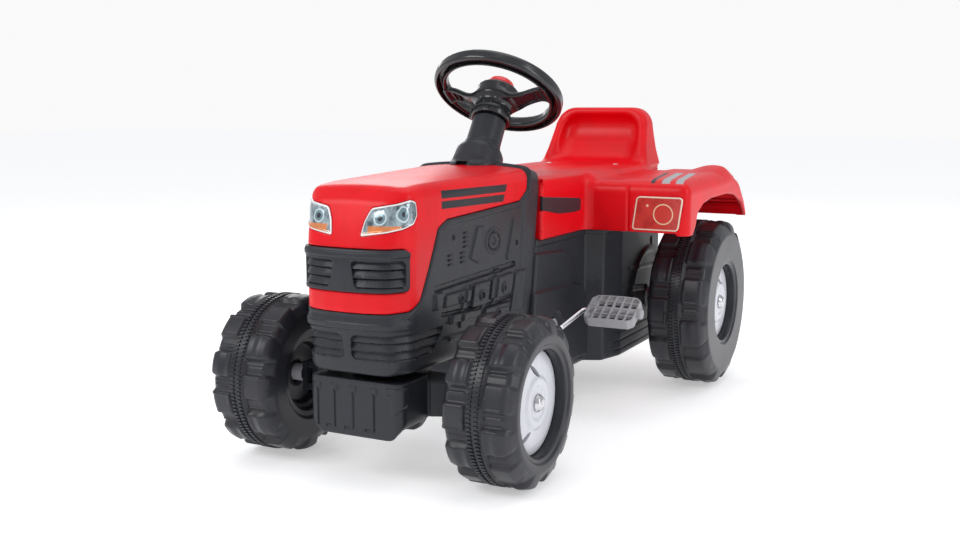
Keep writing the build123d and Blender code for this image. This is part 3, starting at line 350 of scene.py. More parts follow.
def soften(obj, angle=30.0):
    """Smooth shading with sharp edges past an angle."""
    obj.data.polygons.foreach_set("use_smooth", np.full(len(obj.data.polygons), True))
    obj.data.set_sharp_from_angle(angle=math.radians(angle))
    obj.data.update()
    return obj


# ---------------------------------------------------------------- front body
BODY_PLAN = rounded(
    [(-86, -60), (-86, -92), (-73, -382), (-54, -410), (-27, -419.2), (0, -422), (27, -419.2), (54, -410),
     (73, -382), (86, -92), (86, -60)], [9, 0, 34, 30, 20, 20, 20, 30, 34, 0, 9])
BODY_SIDE = rounded(
    [(-406, 135.5), (-422, 215), (-422, 266), (-398, 339), (-381, 356), (-345, 359), (-92, 367), (-66, 361),
     (-62, 342), (-92, 135.5)], [10, 20, 60, 22, 22, 60, 8, 8, 10, 4], 8)
HOOD_SIDE = rounded(
    [(-96, 400), (-103, 334), (-124, 320.5), (-306, 312), (-327, 303), (-352, 252), (-368, 222), (-386, 212),
     (-450, 209.5), (-450, 400)], [0, 8, 12, 14, 12, 14, 16, 14, 0, 0], 4)
GRILLE_BOX = ((-470, -387), (235, 285))
NOSE_TOP, NOSE_LOW = 184.5, 155.5


def front_body(x, y, z):
    """The whole front body: bowed plan, side view and a crowned top, with soft upper edges."""
    crown = 5.0 * (np.abs(x) / 80) ** 2 * ease(230, 345, z)
    tuck = 2.0 * ease(215, 140, z) + 4.0 * ease(275, 352, z) * ease(-260, -380, y)
    plan = outline(x, y, BODY_PLAN) + tuck
    return smooth_max(plan, outline(y, z + crown, BODY_SIDE), 15.0)


def wrap(x, y):
    """Distance along the nose from its middle, round the corner and back along the side."""
    return np.abs(x) + np.maximum(y + 422, 0)


def louvre(z, top, pitch, deep, shallow):
    """Depth of a stack of slats that each lean out towards their lower edge."""
    phase = np.mod((top - z) / pitch, 1.0)
    return shallow + (deep - shallow) * (1 - phase) * ease(0, 0.16, phase) + (deep - shallow) * ease(0.9, 1.0, phase)


def hood_shape(x, y, z):
    """Red shell over the front body, with openings for the grille, the headlights and the column."""
    body = front_body(x, y, z)
    shell = np.maximum(body, -(body + 3.5))
    side = outline(y, z, HOOD_SIDE)
    shell = smooth_max(shell, side, 2.4)
    shell = cut(shell, box2(y, z, *GRILLE_BOX, 7), 2.0)
    for s in (1, -1):
        lamp = lamp_outline(x * s, y, z)
        recess = np.maximum(lamp, -(body + 1.7))
        shell = cut(shell, recess, 0.8)
    u, v, _ = to_steer(x, y, z)
    return cut(shell, np.hypot(u, v) - 21.5, 1.0)


LAMP_POINTS = rounded(
    [(19, 298.5), (22.5, 317), (29, 331.5), (80, 340.5), (92, 338), (94, 322), (86, 312), (52, 303.5)],
    [2.5, 10, 8, 8, 7, 8, 8, 10], 4)
LAMP_BOWLS = ((42.0, 320.0, 8.0), (68.0, 324.5, 9.5))


def lamp_wrap(x, y):
    """Distance out from the nose's middle, going on round its corner."""
    return x + np.maximum(y + 392, 0)


def lamp_outline(x, y, z):
    """Outline of a headlight in the nose's wrapped plane."""
    return outline(lamp_wrap(x, y), z, LAMP_POINTS) + 60.0 * ease(0, -20, x) + np.maximum(y + 340, 0)


def grille_shape(x, y, z):
    """Black insert in the nose, a little proud, with slats in a window on each side of a bar."""
    body = front_body(x, y, z)
    s = wrap(x, y)
    window_in = 13 + (283 - z) * 0.16
    window = smooth_max(smooth_max(window_in - s, s - 98, 3), span(z, 240.5, 271.5), 8)
    depth = louvre(z, 272, 10.4, 6.4, 1.6) * raised(window, 1.0)
    lip = 1.3 * (ease(274.5, 277, z) - ease(280.5, 283, z))
    face = body - 3.0 + depth - lip
    shell = smooth_max(face, -(body + 7.5), 1.0)
    return smooth_max(shell, box2(y, z, (-470, -387.5), (235.5, 284.5), 6.5), 1.6)


def housing_relief(x, y, z):
    """Raised and sunk work on the black lower body, in millimetres outwards."""
    s = wrap(x, y)
    band = (1.8 * ease(208, 199, z) * ease(190, 192.4, z) + 1.4 * ease(200, 197.5, z) * ease(190, 192.4, z)) \
        * ease(118, 98, s)
    side = ease(-399, -384, y)
    window = smooth_max(smooth_max(15 + (190 - z) * 0.10 - s, s - 168 - (z - 170) * 0.9, 6),
                        span(z + 0 * s, NOSE_LOW, NOSE_TOP), 9)
    slats = -louvre(z, NOSE_TOP, 9.7, 6.0, 1.2) * raised(window, 1.2)
    nose = band + slats
    hood_gap = outline(y, z, HOOD_SIDE)
    lip = 1.5 * ease(1.0, 2.6, hood_gap) * ease(8.6, 6.4, hood_gap)
    flank = lip
    boss = outline(y, z, [(-238, 297), (-222, 296), (-236, 251), (-256, 259)])
    flank = flank + 2.6 * raised(boss, 1.2)
    fan = np.hypot((y + 196) / 1.25, z - 275)
    flank = flank + 1.6 * raised(fan - 17, 0.9) - 2.2 * raised(np.abs(fan - 11.5) - 1.2, 0.7) \
        - 2.2 * raised(fan - 4.6, 1.2)
    flank = flank + 2.2 * raised(stroke(y, z, (-143, 297), (-160, 248), 1.7), 0.9)
    flank = flank - 3.5 * raised(np.hypot(y + 131, z - 266) - 3.0, 0.8)
    flank = flank - 3.0 * raised(np.hypot(y + 293, z - 289) - 2.6, 0.8)
    flank = flank - 4.2 * raised(stroke(y, z, (-334, 231), (-138, 238), 3.4), 1.0)
    blocks = (
        ((-318, -262), (207, 222), 4.4), ((-254, -214), (197, 226), 5.4), ((-206, -150), (201, 228), 4.6),
        ((-302, -232), (184, 195), 4.2), ((-224, -158), (174, 191), 5.2), ((-146, -118), (176, 228), 3.6),
        ((-340, -322), (206, 226), 3.2), ((-196, -178), (190, 236), 3.0), ((-276, -266), (176, 226), 2.6),
    )
    for (y0, y1), (z0, z1), high in blocks:
        lean = (z - (z0 + z1) / 2) * 0.25
        flank = flank + high * raised(box2(y - lean, z, (y0, y1), (z0, z1), 3.5), 1.1)
    for cy, cz, r in ((-284, 213, 5), (-234, 210, 7), (-190, 181, 6), (-178, 212, 8)):
        ring = np.hypot(y - cy, z - cz)
        flank = flank + 2.4 * raised(ring - r, 0.9) - 3.4 * raised(ring - r * 0.55, 0.8)
    flank = flank - 2.6 * raised(stroke(y, z, (-320, 198), (-226, 194), 2.2), 0.9)
    flank = flank - 2.6 * raised(stroke(y, z, (-214, 193), (-150, 196), 2.0), 0.9)
    flank = flank + 2.2 * raised(stroke(y, z, (-300, 166), (-150, 160), 4.0), 1.2)
    dash = 2.0 * ease(-128, -118, y + (z - 240) * -0.13)
    keep_clear = ease(2.0, 5.0, hood_gap)
    return nose * (1 - side * ease(186, 196, s)) + (flank - lip) * keep_clear * side * ease(-345, -335, y) \
        + lip * side + dash * side * keep_clear


def housing_shape(x, y, z):
    """Black lower body and dash, closed inside, with bores for the column tube and the steering rod."""
    outer = front_body(x, y, z) - housing_relief(x, y, z) * ease(-62, -70, y)
    body = smooth_max(outer, -(outline(y, z, HOOD_SIDE) - SEAM), 1.6)
    u, v, _ = to_steer(x, y, z)
    axis = np.hypot(u, v)
    body = cut(body, axis - 11.4, 0.6)
    return cut(body, smooth_max(axis - 20.5, 288 - z, 0.5), 0.6)


# ---------------------------------------------------------------- rear frame
FRAME_PLAN = rounded(
    [(-124, 365), (-124, 165), (-112, 118), (-86, 105), (-86, -112), (86, -112), (86, 105), (112, 118), (124, 165),
     (124, 365)], [0, 16, 8, 6, 0, 0, 6, 8, 16, 0])
FRAME_SIDE = rounded([(-91.6, 138), (-73.4, 262), (345, 262), (345, 96), (325, 56), (-80, 56)], [2, 3, 8, 12, 12, 12])


def chassis_relief(y, z):
    """Lip, footwell steps and ribs on the frame's sides."""
    lip = 2.2 * ease(252.5, 254.5, z)
    upper = outline(y, z, UPPER_STEP)
    lower = outline(y, z, LOWER_STEP)
    clear = ease(19, 27, np.hypot(y - CRANK_AT[0], z - CRANK_AT[1]))
    work = lip + (4.2 * raised(np.minimum(upper, lower), 2.0) + 4.2 * raised(lower, 2.2)) * clear
    arch = np.hypot(y - REAR_WHEEL[1], z - REAR_WHEEL[2])
    work = work + 4.0 * raised(np.abs(arch - 80) - 5.0, 3.0) * ease(125, 150, z) * ease(372, 355, y)
    for low in (96, 82, 68):
        work = work - 1.4 * raised(stroke(y, z, (150, low), (325, low), 1.6), 1.0) * ease(140, 150, y)
    work = work - 4.5 * raised(np.hypot(y - 303, (z - 225) / 1.5) - 4.2, 1.2)
    work = work - 2.2 * raised(stroke(y, z, (205, 158), (282, 150), 4.0), 1.4)
    work = work + 1.6 * raised(stroke(y, z, (200, 190), (315, 184), 2.6), 1.2)
    return work


UPPER_STEP = rounded([(-130, 247), (20, 238), (50, 222), (55, 196), (50, 180), (-130, 182)], [0, 24, 18, 10, 4, 0], 8)
LOWER_STEP = rounded([(-130, 193), (60, 184), (84, 180), (98, 160), (102, 70), (-130, 70)], [0, 8, 16, 16, 8, 0], 8)


def chassis_shape(x, y, z):
    """Black rear frame, hollow and open below."""
    plan, side = outline(x, y, FRAME_PLAN), outline(y, z, FRAME_SIDE)
    outer = smooth_max(plan, side, 6.0) - chassis_relief(y, z) * ease(-2, 6, plan + 12)
    hollow = np.maximum(np.maximum(plan + 4.2, span(y, -70, 341)), z - 257.8)
    body = smooth_max(outer, -hollow, 1.2)
    ax = np.abs(x)
    crank = np.hypot(y - CRANK_AT[0], z - CRANK_AT[1])
    axle = np.hypot(y - REAR_WHEEL[1], z - REAR_WHEEL[2])
    body = smooth_min(body, smooth_max(crank - 16, span(ax, 72, 86.2), 1.0), 2.0)
    body = smooth_min(body, smooth_max(axle - 18, span(ax, 108, 124.2), 1.0), 2.0)
    body = cut(body, np.maximum(crank - 11.2, 60 - ax), 0.6)
    body = cut(body, np.maximum(axle - 11.2, 60 - ax), 0.6)
    for px, py in ((60, -14), (60, 300)):
        post = smooth_max(np.hypot(ax - px, y - py) - 9, span(z, 258, 345.4), 1.0)
        body = smooth_min(body, post, 3.0)
    front = smooth_max(span(ax, 0, 40), smooth_max(span(z, 90, 215), -60 - y, 2.0), 4.0)
    return cut(body, np.maximum(front, -110 - y), 1.0)


# ---------------------------------------------------------------- seat body
ARCH = [(60, 259), (112, 259), (124, 270), (134, 290), (160, 301), (207, 307), (298, 307.5), (345, 302), (385, 288),
        (418, 262), (440, 259)]
FENDER_BACK = rounded([(60, 335.5), (318, 341), (372, 326), (402, 300), (430, 262)], [0, 60, 30, 30, 0], 12)
SEAT_PLAN = rounded(
    [(-92, -67), (92, -67), (92, 88), (252, 88), (252, 425), (-252, 425), (-252, 88), (-92, 88)],
    [5, 5, 18, 16, 12, 12, 16, 18], 12)


def arched(foot, half, spring, top):
    """Outline of a panel that stands on its foot points and has a round head."""
    head = [(half - (top - spring) * (1 - math.cos(t)), spring + (top - spring) * math.sin(t))
            for t in np.linspace(0, math.pi / 2, 10)]
    right = foot + head
    return right + [(-x, z) for x, z in reversed(right)]


BACK_FACE = arched([(101, 330), (97, 350), (91, 372), (87, 395)], 85, 409, 444)
BACK_HOLLOW = arched([(80, 330), (78, 352), (74, 372), (72, 390)], 70, 402, 432)
BACK_SIDE = rounded(
    [(340, 340), (350, 354), (384, 424), (391, 446), (421, 446), (424, 340)], [0, 10, 16, 12, 16, 0], 6)
BACK_DISH = rounded(
    [(250, 346), (250, 470), (405, 470), (402, 392), (352, 347), (320, 346)], [0, 0, 0, 60, 60, 0], 12)


def seat_top(x, y):
    """Height of the saddle and the fenders."""
    ax = np.abs(x)
    rear = np.interp(np.broadcast_to(y, np.broadcast_shapes(np.shape(ax), np.shape(y))).ravel(),
                     *zip(*FENDER_BACK)).reshape(np.broadcast_shapes(np.shape(ax), np.shape(y)))
    hump = np.hypot((ax - 222) / 36, (y - 318) / 62)
    fender = rear + 8.0 * np.maximum(1 - hump ** 2, 0) ** 1.5 \
        + 2.5 * ease(92, 120, y) * ease(250, 236, ax) * ease(140, 160, ax)
    saddle = 350.5 - 4.0 * ease(75, 20, ax) * ease(40, 120, y) * ease(345, 280, y) + 0 * fender
    saddle = saddle - 1.5 * ease(40, 90, ax)
    return saddle + (fender - saddle) * ease(88, 112, ax)


def seat_shape(x, y, z):
    """Red saddle, bucket back and fenders in one shell, open below."""
    ax = np.abs(x)
    plan = outline(x, y, SEAT_PLAN)
    top = seat_top(x, y)
    low = np.interp(np.broadcast_to(y, np.shape(y)).ravel(), *zip(*ARCH)).reshape(np.shape(y))
    foot = 262.4 + (low - 262.4) * ease(232, 236, ax)
    over = (z - top) * 0.93
    groove = 1.8 * raised(np.abs(ax - 160) - 1.4, 1.4) * ease(120, 100, y) * ease(335, 325, z)
    plate = 1.2 * raised(box2(ax - (z - 290) * 0.14, z, (169, 241), (265, 316), 6), 0.8) * ease(110, 100, y)
    outer = smooth_max(plan + groove + plate, over, 18.0)
    outer = np.maximum(outer, y - 425)
    trim = outline(y, z, TRIM_LINE)
    outer = outer + 2.2 * raised(trim, 0.7) * ease(104, 98, ax)
    crease = 1.5 * raised(np.abs(z - 275) - 0.8, 2.0) * ease(104, 98, ax) * ease(96, 80, y)
    outer = outer + crease * 0.5
    hollow = smooth_max(plan + 4.2, over + 4.2, 12.0)
    shell = smooth_max(outer, -hollow, 1.2)
    wall = np.maximum(np.maximum(span(ax, 87.8, 91.9), over + 2), span(y, -64.5, 423))
    shell = np.minimum(shell, np.maximum(wall, 262.4 - z))
    back = smooth_max(outline(x, z, BACK_FACE), outline(y, z, BACK_SIDE), 9.0)
    dish = smooth_max(outline(x, z, BACK_HOLLOW), outline(y, z, BACK_DISH), 26.0)
    back = cut(back, dish, 8.0)
    shell = smooth_min(shell, np.maximum(back, 345 - z), 11.0)
    shell = smooth_max(shell, foot - z, 1.6)
    for px, py in ((60, -14), (60, 300)):
        r = np.hypot(ax - px, y - py)
        shell = cut(shell, smooth_max(r - 5.4, 346.6 - z, 0.4), 0.8)
    return shell


TRIM_LINE = rounded([(-76, 304), (-10, 293.5), (40, 291), (74, 292), (77, 308), (71, 311.5), (-76, 323.5)],
                    [0, 40, 20, 4, 6, 4, 0], 8)


def trim_shape(x, y, z):
    """Dark insert in the saddle's side."""
    line = outline(y, z, TRIM_LINE)
    return smooth_max(line + 0.5, np.maximum(span(x, 88.6, 92.6 - 0.8 * ease(60, 76, y)), -66.6 - y), 1.6)


# ---------------------------------------------------------------- front axle
def axle_housing_shape(x, y, z):
    """Beam, tongues, pad and the hollow weight box with its grooves and notches."""
    ax = np.abs(x)
    corner = box2(x, y, (-66, 66), (-398, -330), 12)
    low_corner = outline(ax, z, rounded([(-10, 57), (50, 57), (66, 78), (66, 128), (-10, 128)], [0, 16, 14, 3, 0], 6))
    box = smooth_max(smooth_max(corner, low_corner, 3.0), span(z, 57, 128), 3.0)
    front = ease(-382, -392, y)
    for gx in (-52, -28, -2, 27):
        line = stroke(x, z, (gx, 68), (gx, 112), 1.1)
        box = box + 2.2 * raised(line, 0.9) * front
        notch = box2(x, z, (gx - 4.2, gx + 4.2), (111, 119), 0.8)
        box = box - 1.6 * raised(notch, 0.7) * front
        slit = box2(x, z, (gx - 13, gx - 5), (66, 69), 1.0)
        box = box + 1.8 * raised(slit, 0.7) * front
    tab = outline(x, z, [(45, 114), (51, 114), (52, 96), (56, 90), (66, 101), (68, 122), (45, 122)])
    box = box - 2.0 * raised(tab, 0.8) * front
    hollow = box3(x, y, z, (-60, 60), (-393, -343), (40, 123), 8)
    box = cut(box, hollow, 1.0)
    beam_plan = outline(ax, y, rounded([(-10, -339), (70, -339), (91.5, -328), (91.5, -300), (70, -289), (-10, -289)],
                                       [0, 4, 3, 3, 4, 0]))
    beam = smooth_max(beam_plan, span(z, 76, 120), 3.0)
    pocket = smooth_max(beam_plan + 4.2, span(z, 60, 112), 2.0)
    beam = cut(beam, np.maximum(pocket, ax - 78), 1.0)
    tongue = np.minimum(box3(ax, y, z, (79, 105), (-327, -301), (94, 113), 1.5),
                        smooth_max(np.hypot(ax - 105, y + 314) - 13, span(z, 94, 113), 1.5))
    tongue = cut(tongue, np.hypot(ax - 105, y + 314) - 4.25, 0.4)
    pad = box3(x, y, z, (-44, 44), (-336, -292), (112, 137.6), 3)
    body = smooth_min(smooth_min(box, beam, 3.0), smooth_min(tongue, pad, 1.0), 2.0)
    return body


# ---------------------------------------------------------------- steering wheel and column
def wheel_shape(x, y, z):
    """Steering wheel in its own frame: ring, two spokes, hub boss and skirt."""
    r = np.hypot(x, y)
    ring = smooth_max(box2(r, z, (74.9, 93.9), (-9.5, 9.5), 6.4), -box2(r, z, (80.4, 88.4), (-14, 2.5), 2.5), 1.6)
    flat = smooth_max(ring, z - 9.2, 1.5)
    ax = np.abs(x)
    sag = -4.5 - 14.0 * ease(72, 24, ax)
    half = 13.5 + 6.0 * ease(50, 24, ax) + 3.0 * ease(64, 78, ax)
    spoke = smooth_max(smooth_max(np.abs(y + 2) - half, np.abs(z - sag) - 4.2, 3.0), span(ax, 16, 80), 2.0)
    trough = smooth_max(z - sag + 0.6, span(ax, 30, 77), 2.0)
    spoke = cut(spoke, smooth_max(np.abs(y + 2) - half + 3.4, trough, 2.0), 1.2)
    rib = np.minimum(smooth_max(np.abs(ax - 60) - 1.1, np.abs(z - sag) - 3.8, 0.6),
                     smooth_max(np.abs(ax - 68) - 1.1, np.abs(z - sag) - 3.8, 0.6))
    rib = np.maximum(rib, np.abs(y + 2) - half + 2)
    spoke = np.minimum(spoke, rib)
    hub = smooth_max(r - 25.8 - 4.6 * ease(-26, -14, z) * ease(10, 0, z), span(z, -46, 3.5), 3.0)
    collar = smooth_max(r - 27.8, span(z, -47.5, -36), 2.0)
    hub = smooth_min(hub, collar, 1.5)
    ear = box3(x, y, z, (-31.5, -22), (-8, 4), (-47, -30), 2.5)
    hub = smooth_min(hub, ear, 2.0)
    wheel = smooth_min(smooth_min(flat, spoke, 4.0), hub, 9.0)
    wheel = cut(wheel, smooth_max(r - 22.4, -6.5 - z, 0.6), 1.2)
    wheel = cut(wheel, smooth_max(r - 20.5, z + 18, 0.6), 0.8)
    return cut(wheel, r - 4.6, 0.3)


def collar_shape(x, y, z):
    """Domed collar round the column, standing on the hood, with ring steps and a slot in its foot."""
    u, v, up = to_steer(x, y, z)
    r = np.hypot(u, v)
    profile = outline(r, up, COLLAR_PROFILE)
    ground = front_body(x, y, z) - 0.5
    dome = smooth_max(profile, -ground, 0.8)
    foot = smooth_max(ground - 3.5, smooth_max(r - 36.5, -ground, 1.2), 2.0)
    dome = smooth_min(dome, foot, 5.0)
    slot = smooth_max(smooth_max(np.abs(u + 4) - 9, v + 26, 1.5), ground - 4.6, 1.0)
    dome = cut(dome, slot, 1.0)
    return cut(dome, r - 20.2, 0.5)


COLLAR_PROFILE = rounded([(16, -165), (35, -165), (35, -122), (33.5, -104), (29, -96), (26.4, -95), (26.4, -92.4),
                          (25.4, -91.6), (25.4, -89), (24.4, -88), (23.8, -49.5), (16, -49.5)],
                         [0, 0, 6, 12, 4, 1, 0.6, 0.6, 0.6, 1, 1.5, 0], 5)


def pedal_shape(x, y, z):
    """Grid tread with a skirt and a hub along the spindle, in the pedal's own frame."""
    top = 8.2 - 0.0012 * x * x
    plan = outline(x, y, PEDAL_PLAN)
    block = smooth_max(plan, span(z, -8, top), 1.8)
    shell = cut(block, smooth_max(plan + 2.8, -z - 40, 1.0), 1.0)
    pitch = 75.0 / 6
    bars = np.abs(np.mod(x + pitch / 2, pitch) - pitch / 2) - 1.3
    cross = np.abs(y) - 1.6
    cross = np.minimum(cross, np.abs(np.abs(y) - 13.5) - 1.0 + 100 * ease(24, 25, -x + 0 * y))
    grid = smooth_max(smooth_max(np.minimum(bars, cross), plan + 1.5, 0.8), span(z, 1, top - 0.4), 0.8)
    hub = smooth_max(np.hypot(y, z) - 6.6, span(x, -38, 38), 1.2)
    body = smooth_min(smooth_min(shell, grid, 1.2), hub, 1.5)
    return cut(body, np.hypot(y, z) - 4.2, 0.3)


PEDAL_PLAN = rounded([(-38, -20), (-30, -27), (30, -27), (38, -21), (38, 21), (30, 27), (-30, 27), (-38, 20)], 5)


# ---------------------------------------------------------------- wheels
def tyre_relief(x, angle, half, radius, shift):
    """Height of the tread work above the carcass: pillow lugs, flat lugs with an L-shaped rim, and a centre step."""
    ax = np.abs(x)
    count = 12
    turn = np.mod(angle / (2 * math.pi) * count + np.where(x > 0, 0.0, shift), 2.0)
    phase = np.mod(turn, 1.0) - 0.5
    pillow = turn < 1.0
    arc = radius * 2 * math.pi / count
    along = phase * arc
    edge = half - 3.0
    reach = 0.30 * arc
    across = (ax - 10) / (edge - 10)
    mid = (10 + edge) / 2 + 2
    barrel = np.hypot(along / (reach * 1.04), np.maximum(ax - mid, 0) / (half - mid + 3)) - 1
    barrel = np.maximum(barrel * reach, 10 - ax)
    scoop = 0.9 * np.cos(np.clip(across, 0, 1.15) * 4 * math.pi)
    pillow_high = (7.0 + 0.8 * scoop - 0.9 * (along / reach) ** 2) * raised(barrel, 2.0)
    ring = -1.4 * raised(np.abs(barrel - 3.4) - 1.0, 1.0)
    block = box2(ax, along, (11, edge + 2), (-reach, reach), 3.0)
    flat_high = 5.4 * raised(block, 2.0) + 1.5 * raised(np.abs(block + 2.0) - 1.1, 0.8) * (along < 0)
    step = 2.0 * raised(stroke(ax, along, (14, -arc * 0.46), (mid + 6, -arc * 0.46), 1.2), 0.8)
    lug = np.where(pillow, pillow_high + ring, flat_high) + step
    centre = 5.4 * raised(ax - 8.8, 0.9)
    return lug * ease(8.4, 10.8, ax) + centre


def tyre_profile(radius, width, rim_r, inner_r):
    """Closed section of a blow-moulded tyre as (x, radius), its outer side towards +x."""
    half, tread = width / 2, radius - 8.0
    points = [
        (-half + 26, 13.6), (-half + 26, inner_r - 8), (-half + 15, inner_r - 6), (-half + 13, inner_r),
        (-half + 5, inner_r + 2), (-half + 3.5, inner_r + 9), (-half + 0.6, inner_r + 13), (-half, tread - 15),
        (-half + 9, tread - 1), (half - 9, tread - 1), (half, tread - 15), (half - 0.6, rim_r + 9),
        (half - 3, rim_r + 6.5), (half - 4, rim_r + 2), (half - 7, rim_r + 0.9), (half - 20.6, rim_r + 0.9),
        (half - 20.6, 13.6),
    ]
    radii = [0, 3, 2, 2, 2, 3, 4, 12, 9, 9, 12, 3, 2, 2, 1, 0.5, 0]
    dense = []
    corners = rounded(points, radii, 6)
    for p, q in zip(corners, corners[1:] + corners[:1]):
        tread_part = max(p[1], q[1]) > tread - 16
        size = math.hypot(q[0] - p[0], q[1] - p[1])
        n = max(1, int(round(size / (1.5 if tread_part else 7.0) / FINE)))
        dense += [(p[0] + (q[0] - p[0]) * k / n, p[1] + (q[1] - p[1]) * k / n) for k in range(n)]
    return np.array(dense)


def tyre_mesh(name, centre, side, radius, width, rim_r, inner_r):
    half, tread = width / 2, radius - 8.0
    profile = tyre_profile(radius, width, rim_r, inner_r)
    place = about_x(centre, side)

    def frame_of(along, r, angle):
        weight = ease(tread - 17, tread - 7, r)
        lift = tyre_relief(along, angle, half, radius, 0.5) * weight
        lift = lift - 0.8 * ease(half - 9, half, np.abs(along)) * lift
        outward = lift * 0.55 * ease(tread - 2, tread - 14, r) * np.sign(along)
        return place(along + outward * 0.5, np.minimum(r + lift, radius - 0.05), angle)

    turns = int(round((432 if radius > 110 else 360) / FINE))
    return face_outwards(turned(name, profile, turns, frame_of))


def rim_mesh(name, centre, side, width, rim_r, bore_r, hub_inner_x):
    """White wheel disc with a raised ring, cut by two lens-shaped slots."""
    face = width / 2 - 17.5
    points = [
        (hub_inner_x, bore_r), (hub_inner_x, bore_r + 6), (face - 2.6, bore_r + 6), (face - 2.6, rim_r),
        (face + 0.4, rim_r), (face + 1.4, rim_r - 3.5), (face + 3.2, rim_r - 12), (face + 4.2, 33),
        (face + 6.6, 28.5),
        (face + 6.9, 22), (face + 5, 18), (face + 5, bore_r),
    ]
    profile = rounded(points, [0.5, 0.5, 1, 0.5, 1.6, 4, 10, 5, 4, 4, 2, 0.3], 5)
    obj = turned(name, profile, int(144 / FINE), about_x(centre, side))
    face_outwards(obj)
    points, faces = [], []
    for (u, v), lean in (((-0.08, 0.62), -37.0), ((-0.47, -0.58), 20.0)):
        turn, base = math.radians(lean), len(points)
        lens = [(14.0 * math.cos(t), 3.3 * math.sin(t)) for t in np.linspace(0, 2 * math.pi, 28, endpoint=False)]
        for along in (face - 12, face + 14):
            for a, b in lens:
                y = centre[1] + u * rim_r + a * math.cos(turn) - b * math.sin(turn)
                z = centre[2] + v * rim_r + a * math.sin(turn) + b * math.cos(turn)
                points.append(Vector(((centre[0] + along) * side, y, z)) * MM)
        n = len(lens)
        faces += [(base + i, base + (i + 1) % n, base + n + (i + 1) % n, base + n + i) for i in range(n)]
        faces += [tuple(base + i for i in reversed(range(n))), tuple(base + n + i for i in range(n))]
    mesh = bpy.data.meshes.new("slot_cutter")
    mesh.from_pydata(points, [], faces)
    cutter = bpy.data.objects.new("slot_cutter", mesh)
    bpy.context.scene.collection.objects.link(cutter)
    face_outwards(cutter)
    boolean = obj.modifiers.new("slots", "BOOLEAN")
    boolean.object, boolean.operation, boolean.solver = cutter, "DIFFERENCE", "EXACT"
    plain_copy(obj)
    bpy.data.objects.remove(cutter)
    return soften(obj, 35)


def cap_mesh(name, centre, side, width):
    """Pressed steel push cap with a rolled edge and a dimple."""
    foot = width / 2 - 17.5 + 5.3
    points = [(foot, 0.01), (foot, 10.6), (foot + 1.0, 11.0), (foot + 2.0, 10.4), (foot + 3.2, 9.4),
              (foot + 5.4, 8.0),
              (foot + 6.8, 4.6), (foot + 6.2, 1.6), (foot + 6.1, 0.01)]
    profile = rounded(points, [0, 0.4, 0.5, 0.8, 1.5, 3, 1.5, 1, 0], 4)
    return face_outwards(turned(name, profile, int(56 / FINE), about_x(centre, side)))


# ---------------------------------------------------------------- Geometry Nodes
class Tree:
    """A geometry node tree under construction."""

    def __init__(self, name):
        self.tree = bpy.data.node_groups.new(name, "GeometryNodeTree")
        self.inputs = {}
        self.tree.interface.new_socket("Geometry", in_out="OUTPUT", socket_type="NodeSocketGeometry")
        self.tree.interface.new_socket("Path", in_out="INPUT", socket_type="NodeSocketGeometry")
        self.source = self.tree.nodes.new("NodeGroupInput")

    def size(self, name, kind, value):
        """A named input, and the socket that gives it."""
        item = self.tree.interface.new_socket(name, in_out="INPUT", socket_type=kind)
        item.default_value = value
        self.inputs[name] = item.identifier
        return self.source.outputs[name]

    def path(self):
        """The points that the tree starts from."""
        return self.source.outputs["Path"]

    def node(self, kind, settings=None, values=None):
        """Any node: its settings first, then the values or links of its sockets by name or index."""
        made = self.tree.nodes.new(kind)
        for key, value in (settings or {}).items():
            setattr(made, key, value)
        for key, value in (values or {}).items():
            if isinstance(value, bpy.types.NodeSocket):
                self.tree.links.new(value, made.inputs[key])
            else:
                made.inputs[key].default_value = value
        return made

    def end(self, geometry, material):
        """Realizes the instances and sets the material."""
        real = self.node("GeometryNodeRealizeInstances", None, {0: geometry})
        paint = self.node("GeometryNodeSetMaterial", None, {"Geometry": real.outputs[0], "Material": material})
        out = self.tree.nodes.new("NodeGroupOutput")
        self.tree.links.new(paint.outputs[0], out.inputs[0])

    def build(self, name, sizes=None, shape=(), closed=False, angle=35.0):
        """Plain mesh object made by the tree; shape gives the points, or the closed loop, it starts from."""
        base = bpy.data.meshes.new(name)
        n = len(shape)
        base.from_pydata([Vector(p) * MM for p in shape], [(i, (i + 1) % n) for i in range(n)] if closed else [], [])
        obj = bpy.data.objects.new(name, base)
        bpy.context.scene.collection.objects.link(obj)
        mod = obj.modifiers.new("made", "NODES")
        mod.node_group = self.tree
        for key, value in (sizes or {}).items():
            mod[self.inputs[key]] = value
        plain_copy(obj, name)
        return soften(obj, angle)


def rounded_block(tree, size, bevel_share=0.22):
    """Small block with tapered top made of few faces: a cube whose upper face is drawn in."""
    cube = tree.node("GeometryNodeMeshCube", None, {"Size": size})
    top = tree.node("GeometryNodeInputNormal")
    apart = tree.node("ShaderNodeSeparateXYZ", None, {0: top.outputs[0]})
    up = tree.node("FunctionNodeCompare", {"data_type": "FLOAT", "operation": "GREATER_THAN"},
                   {0: apart.outputs[2], 1: 0.5})
    drawn = tree.node("GeometryNodeScaleElements", None,
                      {"Geometry": cube.outputs[0], "Selection": up.outputs[0], "Scale": 1 - bevel_share})
    return drawn.outputs[0]


